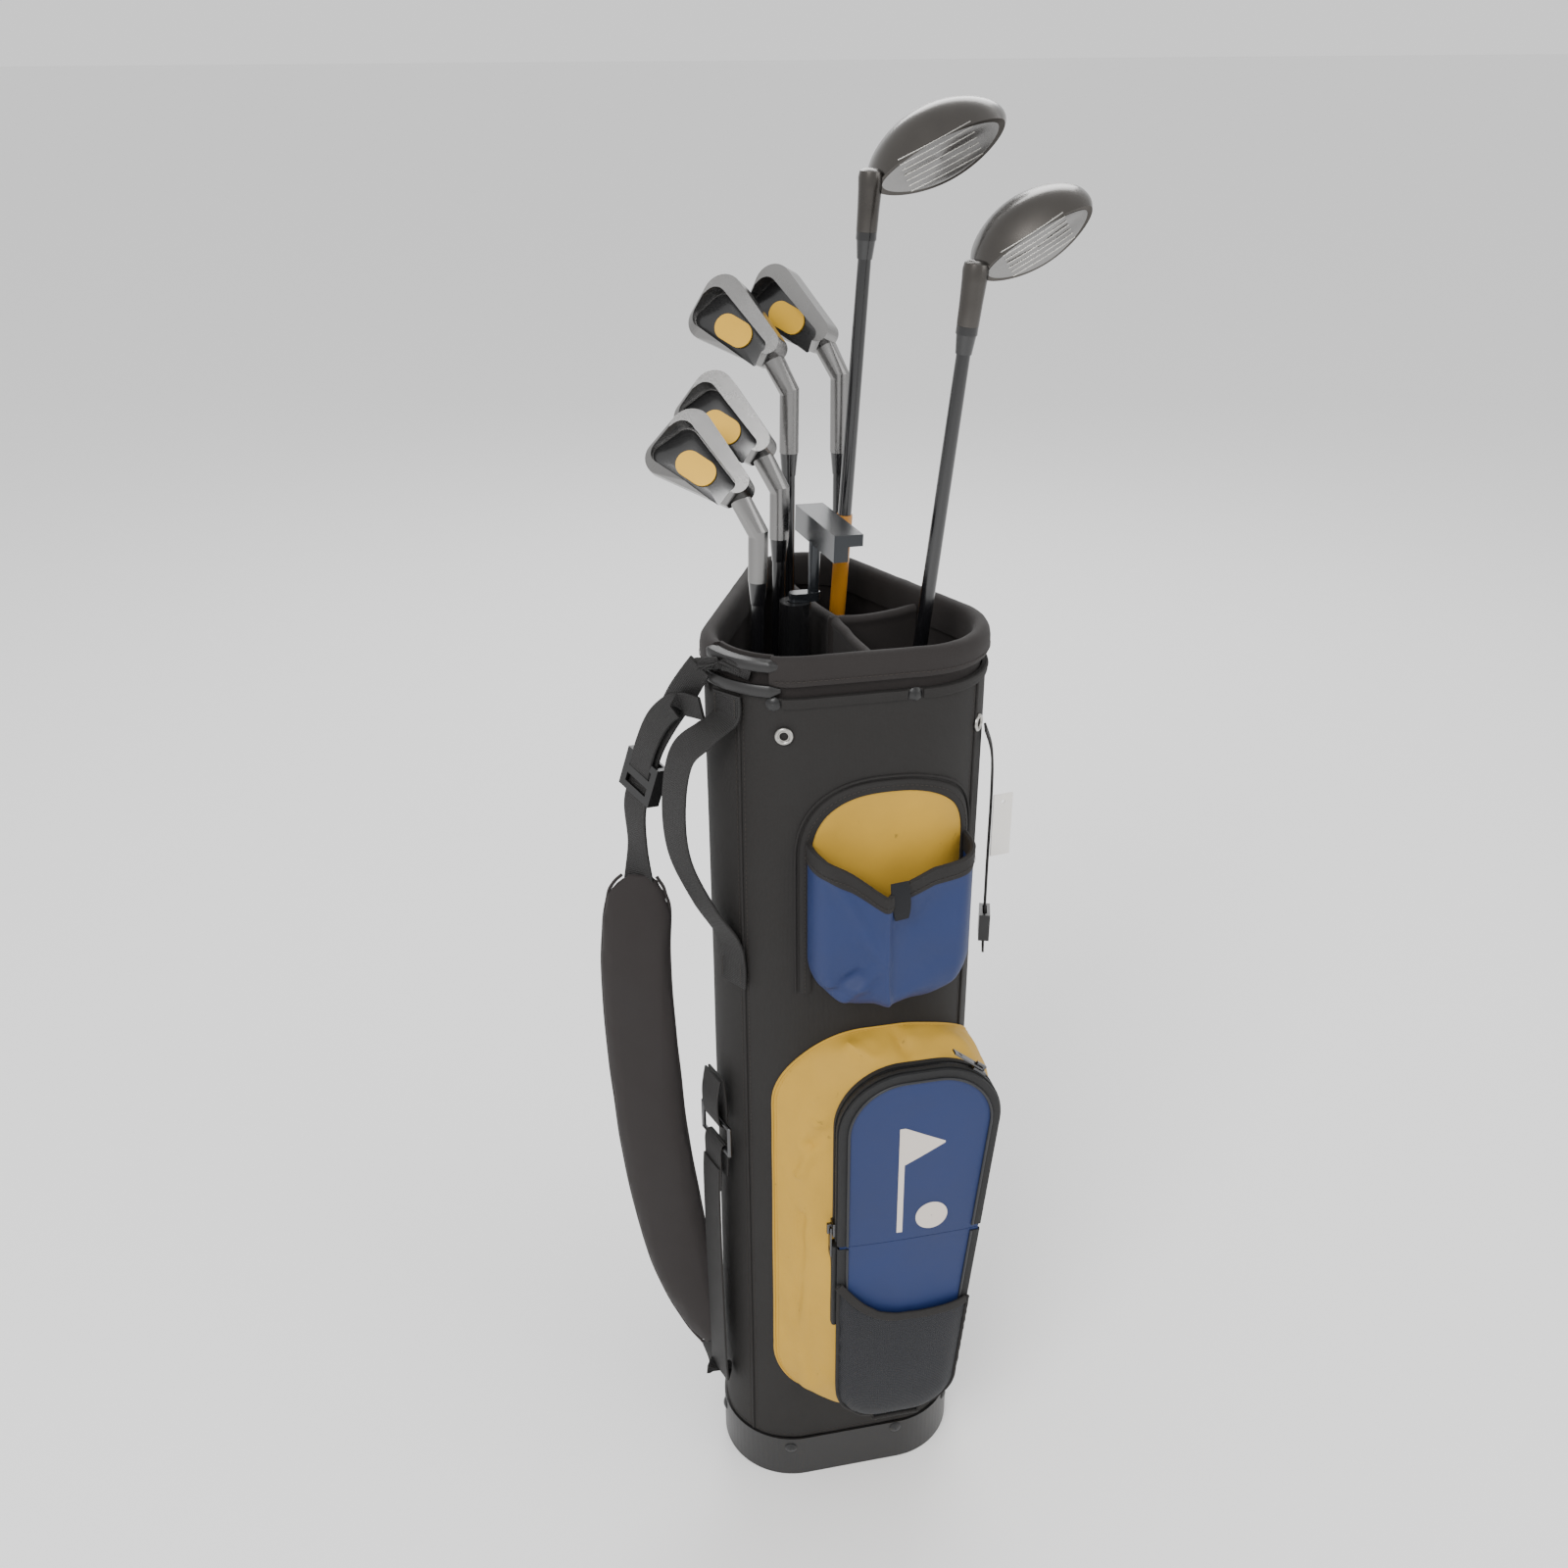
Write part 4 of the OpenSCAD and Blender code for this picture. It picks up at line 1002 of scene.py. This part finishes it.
tail_route = [
    ((-143.5, -37.5, 640), ACROSS, 23, WEB), ((-138, -41, 664), ACROSS, 22, WEB),
    ((-129, -50, 688), (0.55, -0.75, 0.1), 20, WEB), ((-117, -64, 704), (0.5, -0.75, 0.3), 18, WEB),
    ((-104, -84, 708), (0.3, -0.6, 0.6), 17, WEB),
]
piece(
    "upper_webbing", [band(upper_route, 12)], "webbing", "shoulder_strap", ["strap_upper_webbing"],
)
piece("webbing_tail", [band(tail_route, 12)], "webbing", "shoulder_strap")

lower_route = [
    ((-111, -65, 116), (0.8, -0.6, 0), 20, WEB), ((-107.5, -71, 99), (0.5, -0.8, 0), 22, WEB),
    ((-106.2, -79, 98), (0.4, -0.9, 0), 24, WEB), ((-107, -82, 130), (0.33, -0.94, 0), 25, WEB),
    ((-108, -82, 220), (0.33, -0.94, 0), 25, WEB), (
        (-108.3, -82.4, 300), (0.33, -0.94, 0), 25, WEB,
    ),
    ((-107.5, -82.5, 326), (0.33, -0.94, 0), 25, WEB),
]
# The ring's centre, its wide direction RX and its thin one RY
RING_C = np.array([-103.0, -81.0, 356.0])
RING_Q = math.atan2(0.95, -0.32)
RX = np.array([math.cos(RING_Q), math.sin(RING_Q), 0])
RY = np.array([-math.sin(RING_Q), math.cos(RING_Q), 0])
UP = np.array([0, 0, 1.0])


def at_ring(y, z):
    """Point in the ring's middle plane."""
    return RING_C + RY * y + UP * z


LOW_WRAP = [
    (4.2, -52), (3.4, -30), (3.5, -16), (2.2, -9.6), (0, -8.6), (-2.2, -9.6), (-3.3, -16),
    (-3.0, -28), (-2.4, -40),
]
wrap_low = [at_ring(y, z) for y, z in LOW_WRAP]
piece(
    "lower_webbing",
    [band(lower_route, 12), band([(p, RX, 25, 1.9) for p in wrap_low], 8)],
    "webbing", "shoulder_strap", ["strap_lower_webbing"],
)
HIGH_WRAP = [
    (1.6, 52), (4.6, 34), (4.2, 18), (2.6, 10.6), (0, 8.4), (-2.4, 10.6), (-3.4, 18),
    (-3.0, 32), (-1.2, 52),
]
wrap_high = [at_ring(y, z) for y, z in HIGH_WRAP]
piece("ring_loop", [band([(p, RX, 24, 1.9) for p in wrap_high], 8)], "webbing", "bag")

PAD_SPARE = 1.12  # the cloth draws in as it swells
SWELL_FRAMES = 20
# Rows of (point, across, width, thickness), from the top of the pad down
pad_route = [
    ((-148.5, -41.5, 566), (1, -0.3, 0.1), 14, 4), ((-149, -42, 556), (1, -0.3, 0.1), 32, 8),
    ((-151, -43, 537), (1, -0.3, 0.1), 45, 12), ((-154, -44, 490), (1, -0.3, 0.05), 50, 13),
    ((-153, -46, 420), (1, -0.3, -0.1), 52, 13), ((-149, -48, 340), (1, -0.3, -0.15), 53, 13),
    ((-141, -50, 265), (1, -0.3, -0.25), 53, 13), ((-130, -54, 195), (1, -0.3, -0.35), 49, 13),
    ((-119, -59, 145), (1, -0.45, -0.4), 37, 11), ((-113, -63, 121), (1, -0.6, -0.3), 23, 7),
    ((-111, -65, 113), (1, -0.6, -0.2), 12, 4),
]


def pillow(w, t):
    """Lens with soft edges."""
    turns = circle(32)
    lens = [math.copysign(abs(math.sin(q)) ** 0.45, math.sin(q)) for q in turns]
    return [(w / 2 * math.cos(q), t / 2 * y) for q, y in zip(turns, lens)]


wide_route = [(p, a, w * PAD_SPARE, t) for p, a, w, t in pad_route]
pad = piece(
    "shoulder_pad_cloth", [band(wide_route, 9, pillow)], "pad_fabric", None, ["shoulder_pad"],
    sharp=80,
)


def inflate(obj, pressure, cap, voxel):
    """Cloth simulation of a stuffed piece: pressure swells it, and no point moves beyond cap."""
    remesh = obj.modifiers.new("skin", "REMESH")
    remesh.mode = "VOXEL"
    remesh.voxel_size = voxel * MM
    bake(obj)
    rest = np.array([v.co for v in obj.data.vertices])
    cloth_mod = obj.modifiers.new("cloth", "CLOTH")
    cloth_mod.settings.use_pressure = True
    cloth_mod.settings.uniform_pressure_force = pressure
    cloth_mod.settings.effector_weights.gravity = 0
    cloth_mod.settings.quality = 5
    cloth_mod.point_cache.frame_start, cloth_mod.point_cache.frame_end = 1, SWELL_FRAMES
    for f in range(1, SWELL_FRAMES + 1):
        scene.frame_set(f)
    bake(obj)
    scene.frame_set(1)
    moved = np.array([v.co for v in obj.data.vertices]) - rest
    far = np.linalg.norm(moved, axis=1, keepdims=True)
    moved *= np.minimum(1, cap * MM / np.maximum(far, 1e-9))
    wrinkle = np.array([[rough(p / MM, (16, 16, 22), 8.0)] for p in rest]) * 0.5 * MM
    push = np.array([v.normal for v in obj.data.vertices]) * wrinkle
    obj.data.vertices.foreach_set("co", (rest + moved + push).astype(np.float32).ravel())
    finer = obj.modifiers.new("finer", "SUBSURF")
    finer.levels = finer.render_levels = 1
    bake(obj)


def bake(obj):
    """Applies an object's modifiers to its mesh."""
    depsgraph = bpy.context.evaluated_depsgraph_get()
    data = bpy.data.meshes.new_from_object(obj.evaluated_get(depsgraph))
    obj.modifiers.clear()
    obj.data = data
    data.polygons.foreach_set("use_smooth", [True] * len(data.polygons))


inflate(pad, pressure=4, cap=1.6, voxel=4.0)
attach(pad, "shoulder_strap")

route = smooth([[*p, *unit(a), w, t] for p, a, w, t in pad_route], 9)
edges = []
surface = np.array([v.co for v in pad.data.vertices]) / MM
for side in (-1, 1):
    line = []
    for row, tan in list(zip(route, tangents(route[:, :3])))[4:-4]:
        a = unit(row[3:6] - tan * (row[3:6] @ tan))
        away = surface - row[:3]
        near = np.abs(away @ tan) < 4.5
        line.append(row[:3] + side * a * ((away[near] @ a * side).max() - 0.5))
    soft = np.array(line)
    for _ in range(3):
        soft[1:-1] = (soft[:-2] + 2 * soft[1:-1] + soft[2:]) / 4
    edges.append(cord(soft, 1.3, 8))
piece("pad_piping", edges, "pad_fabric", "shoulder_strap")

SIDE_STRAP = [
    (94, -86, 676, 10), (101, -83, 655, 10), (103, -82, 620, 10),
    (103, -82, 560, 10), (103.5, -82, 500, 10), (103.8, -82, 490, 9),
]
side_route = [(point, (0.3, 0.9, 0), wide, 1.8) for *point, wide in SIDE_STRAP]
piece("side_webbing", [band(side_route, 10)], "webbing", "bag", ["side_strap"])

# ---- Clubs ----
# Butt and mouth (x, y), height of the sole above the butt, compass angle of the toe
BUTT_Z = 9.0
CLUBS = {
    "driver": ((-22.9, 61.4), (18.5, 33.4), 1032, -12),
    "fairway": ((-16, -30), (52.7, -66), 989, -12),
    "iron5": ((28.2, 68.7), (23.9, 59.4), 913, 122), "iron7": ((-30, 34), (-20.6, 32.2), 909, 122),
    "iron9": ((-47, -6), (-35, -4), 851, 122), "wedge": ((-73, -47), (-58, -45), 834, 122),
    "putter": ((-51, -33), (-29, -30), 808, -84),
}


def in_bag(club):
    """4 x 4 matrix from a club drawn on its butt, toe along +X, to its place in the bag."""
    butt, mouth, _, toe = CLUBS[club]
    lean = Vector((mouth[0] - butt[0], mouth[1] - butt[1], TOP - BUTT_Z))
    az = math.atan2(lean.y, lean.x)
    tilt = math.acos(lean.z / lean.length)
    return (
        Matrix.Translation((butt[0], butt[1], BUTT_Z)) @ Matrix.Rotation(az, 4, "Z")
        @ Matrix.Rotation(tilt, 4, "Y") @ Matrix.Rotation(math.radians(toe) - az, 4, "Z")
    )


def lay(lie, loft):
    """Turns a head from upright to its lie and loft."""
    lean_back = Matrix.Rotation(math.radians(loft), 4, "X")
    return Matrix.Rotation(-math.radians(90 - lie), 4, "Y") @ lean_back


def placed(part, matrix):
    """A mesh part moved by a matrix."""
    m = np.array(matrix)
    points = np.asarray(part[0], float) @ m[:3, :3].T + m[:3, 3]
    return points, part[1], part[2]


def lathe(profile, sides=40):
    """Solid of revolution about Z through (radius, z) points."""
    turns = circle(sides)
    circles = [[[r * math.cos(q), r * math.sin(q), z] for q in turns] for r, z in profile]
    return rings(np.array(circles))


def swell(u):
    """Half width of a wood head, from its face at u = 0 to its back at u = 1."""
    if u < 0.28:
        return 0.93 + 0.07 * math.sin(math.pi / 2 * u / 0.28)
    return (1 - ((u - 0.28) / 0.72) ** 2.4) ** 0.5


def crown(u):
    """Height of the crown, likewise."""
    if u < 0.22:
        return 0.85 + 0.15 * math.sin(math.pi / 2 * u / 0.22)
    return (1 - ((u - 0.22) / 0.78) ** 2) ** 0.62


def sole(u):
    """Depth of the sole, likewise."""
    if u < 0.35:
        return 0.6 + 0.8 * math.sin(math.pi / 2 * u / 0.35)
    return 1.4 * (1 - ((u - 0.35) / 0.65) ** 2) ** 0.6


HEEL = 11  # the heel lies this far behind the hosel


def wood_point(l, d, h, u, q, shrink=1.0):
    """Point on a wood head: u from face to back, q round it, shrink towards its middle."""
    c, s = math.cos(q), math.sin(q)
    a, b = l / 2 * swell(u) * shrink, h / 2 * (sole(u) if s > 0 else crown(u)) * shrink
    bulge = 4 * (1 - u) * (1 - c * c * shrink)
    return (
        l / 2 - HEEL + 2 * u + a * c,
        -6 - bulge + d * u,
        -h / 2 - 1 - 5 * u + b * s * (1 - 0.18 * c * c),
    )


def wood_shape(l, d, h):
    """Closed head of a wood."""
    turns = circle(72)
    face = [[wood_point(l, d, h, 0, q, s) for q in turns] for s in (0.03, 0.3, 0.6, 0.85, 0.96)]
    body = [
        [wood_point(l, d, h, min(0.9995, (i / 44) ** 1.1), q) for q in turns]
        for i in range(45)
    ]
    tail = [[wood_point(l, d, h, 0.9997, q, s) for q in turns] for s in (0.6, 0.2)]
    return rings(np.array(face + body + tail))


def score_lines(l, h):
    """Grooves across a wood's face, drawn as thin bright bars."""
    bars = []
    for k in range(7):
        z = -h * 0.24 - k * h * 0.095
        line = [((l / 2 - HEEL + x, -10.5 + 4 * (2 * x / l / 0.93) ** 2, z), (0, 0, 1), 0.7, 0.4)
                for x in np.linspace(-l * 0.26, l * 0.26, 9)]
        bars.append(band(line, 2))
    return bars


HOSEL = [(6.9, -48), (7.0, -47.4), (7.3, -34), (7.8, -22), (8.3, -15), (7.6, -11), (5, -9.5)]
# Length, depth, height, loft and lie
WOODS = {"driver": (97, 74, 38, 10, 60), "fairway": (80, 60, 31, 15, 52)}
for club, (l, d, h, loft, lie) in WOODS.items():
    at_sole = in_bag(club) @ Matrix.Translation((0, 0, CLUBS[club][2]))
    laid = at_sole @ lay(lie, loft)
    parts = [placed(wood_shape(l, d, h), laid), placed(lathe(HOSEL), at_sole)]
    piece(f"{club}_wood", parts, "dark_steel", club, [f"{club}_head"], sharp=50)
    turns = circle(72)
    shrinks = (0.04, 0.3, 0.6, 0.84, 0.9)
    plate = np.array([[wood_point(l, d, h, 0, q, k) for q in turns] for k in shrinks])
    plate[:, :, 1] -= np.array([[0.35]] * 4 + [[0.05]])
    piece(f"{club}_face", [placed(shell(plate, 0.3, wrap=True), laid)], "satin_steel", club)
    grooves = [placed(bar_part, laid) for bar_part in score_lines(l, h)]
    piece(f"{club}_grooves", grooves, "nickel", club)

BLADE_L, FACE_Y, IRON_LIE = 71.0, -5.0, 52.0
# Loft and height of the toe
IRONS = {"iron5": (27, 48), "iron7": (34, 49), "iron9": (41, 50), "wedge": (46, 52)}
for club, (loft, toe) in IRONS.items():
    discs = [(9, -15, 4.6), (BLADE_L - 14, -21, 8.6), (8, -27, 1), (BLADE_L - 12, 13 - toe, 6.6)]
    ends = []
    for q in circle(96):
        c, v = math.cos(q), math.sin(q)
        x, z, r = max(discs, key=lambda k: k[0] * c + k[1] * v + k[2])
        ends.append((x + r * c, z + r * v))
    middle = np.mean(ends, axis=0)
    insert = np.array([
        [[*(middle + (np.array(e) - middle) * k)] for e in ends] for k in (0.05, 0.5, 0.94, 1.0)
    ])
    depth = np.array([[0.5], [0.5], [0.45], [0.1]]) * np.ones((1, len(ends)))
    insert = np.stack([insert[:, :, 0], FACE_Y + 3.5 + depth, insert[:, :, 1]], axis=2)
    at_sole = in_bag(club) @ Matrix.Translation((0, 0, CLUBS[club][2]))
    part = placed(shell(insert, 0.3, wrap=True), at_sole @ lay(IRON_LIE, loft))
    piece(f"{club}_cavity", [part], "ferrule_black", club)

LABEL = [(6.0, 700), (6.05, 702), (6.0, 790), (5.9, 792)]
label = placed(lathe([(r - 0.15, z) for r, z in LABEL]), in_bag("driver"))
piece("driver_label", [label], "shaft_graphite", "driver", own=GOLD_LABEL)

# ---- CAD nodes that show as they are ----
for sub in frame["record"]["subparts"]:
    node = nodes[sub["node"]]
    node.data.materials.clear()
    node.data.materials.append(LOOKS[sub["material_slot"]])

# ---- Camera, floor and light ----
SENSOR_MM, LENS_MM = 36, 33.93
CAM = Vector((-0.23459, -0.97372, 1.09766))
PITCH, COMPASS, ROLL = math.radians(26.4), math.radians(-11.8), math.radians(-0.39)
lens = bpy.data.cameras.new("camera")
lens.sensor_width = SENSOR_MM
lens.lens = LENS_MM
camera = bpy.data.objects.new("camera", lens)
scene.collection.objects.link(camera)
flat = Vector((math.sin(-COMPASS), math.cos(COMPASS), 0))
ahead = flat * math.cos(PITCH) - Vector((0, 0, math.sin(PITCH)))
right = ahead.cross(Vector((0, 0, 1))).normalized()
up = right.cross(ahead)
side = right * math.cos(ROLL) + up * math.sin(ROLL)
top = side.cross(ahead)
camera.matrix_world = Matrix((
    (side.x, top.x, -ahead.x, CAM.x), (side.y, top.y, -ahead.y, CAM.y),
    (side.z, top.z, -ahead.z, CAM.z),
    (0, 0, 0, 1),
))
scene.camera = camera

FLOOR_SIZE, FLOOR_DROP = 400, 0.0006
bpy.ops.mesh.primitive_plane_add(size=FLOOR_SIZE, location=(0, 0, -FLOOR_DROP))
floor = bpy.context.object
floor.name = "floor"
floor.data.materials.append(material("floor", "f4f4f4", 0.9, vary=0.01))

WORLD_LIGHT = 1.05
world = bpy.data.worlds.new("studio")
world.use_nodes = True
world.node_tree.nodes["Background"].inputs["Color"].default_value = (1, 1, 1, 1)
world.node_tree.nodes["Background"].inputs["Strength"].default_value = WORLD_LIGHT
scene.world = world
AIM = Vector((0, 0, 0.5))
LIGHTS = [
    ("key", (-1.6, -2.2, 2.7), 1.4, 95), ("fill", (2.2, -1.6, 1.6), 1.8, 22),
    ("back", (0.6, 2.2, 2.4), 1.6, 40),
]
for name, at, size, power in LIGHTS:
    data = bpy.data.lights.new(name, "AREA")
    data.size, data.energy = size, power
    light = bpy.data.objects.new(name, data)
    light.location = at
    light.rotation_euler = (AIM - Vector(at)).to_track_quat("-Z", "Y").to_euler()
    scene.collection.objects.link(light)
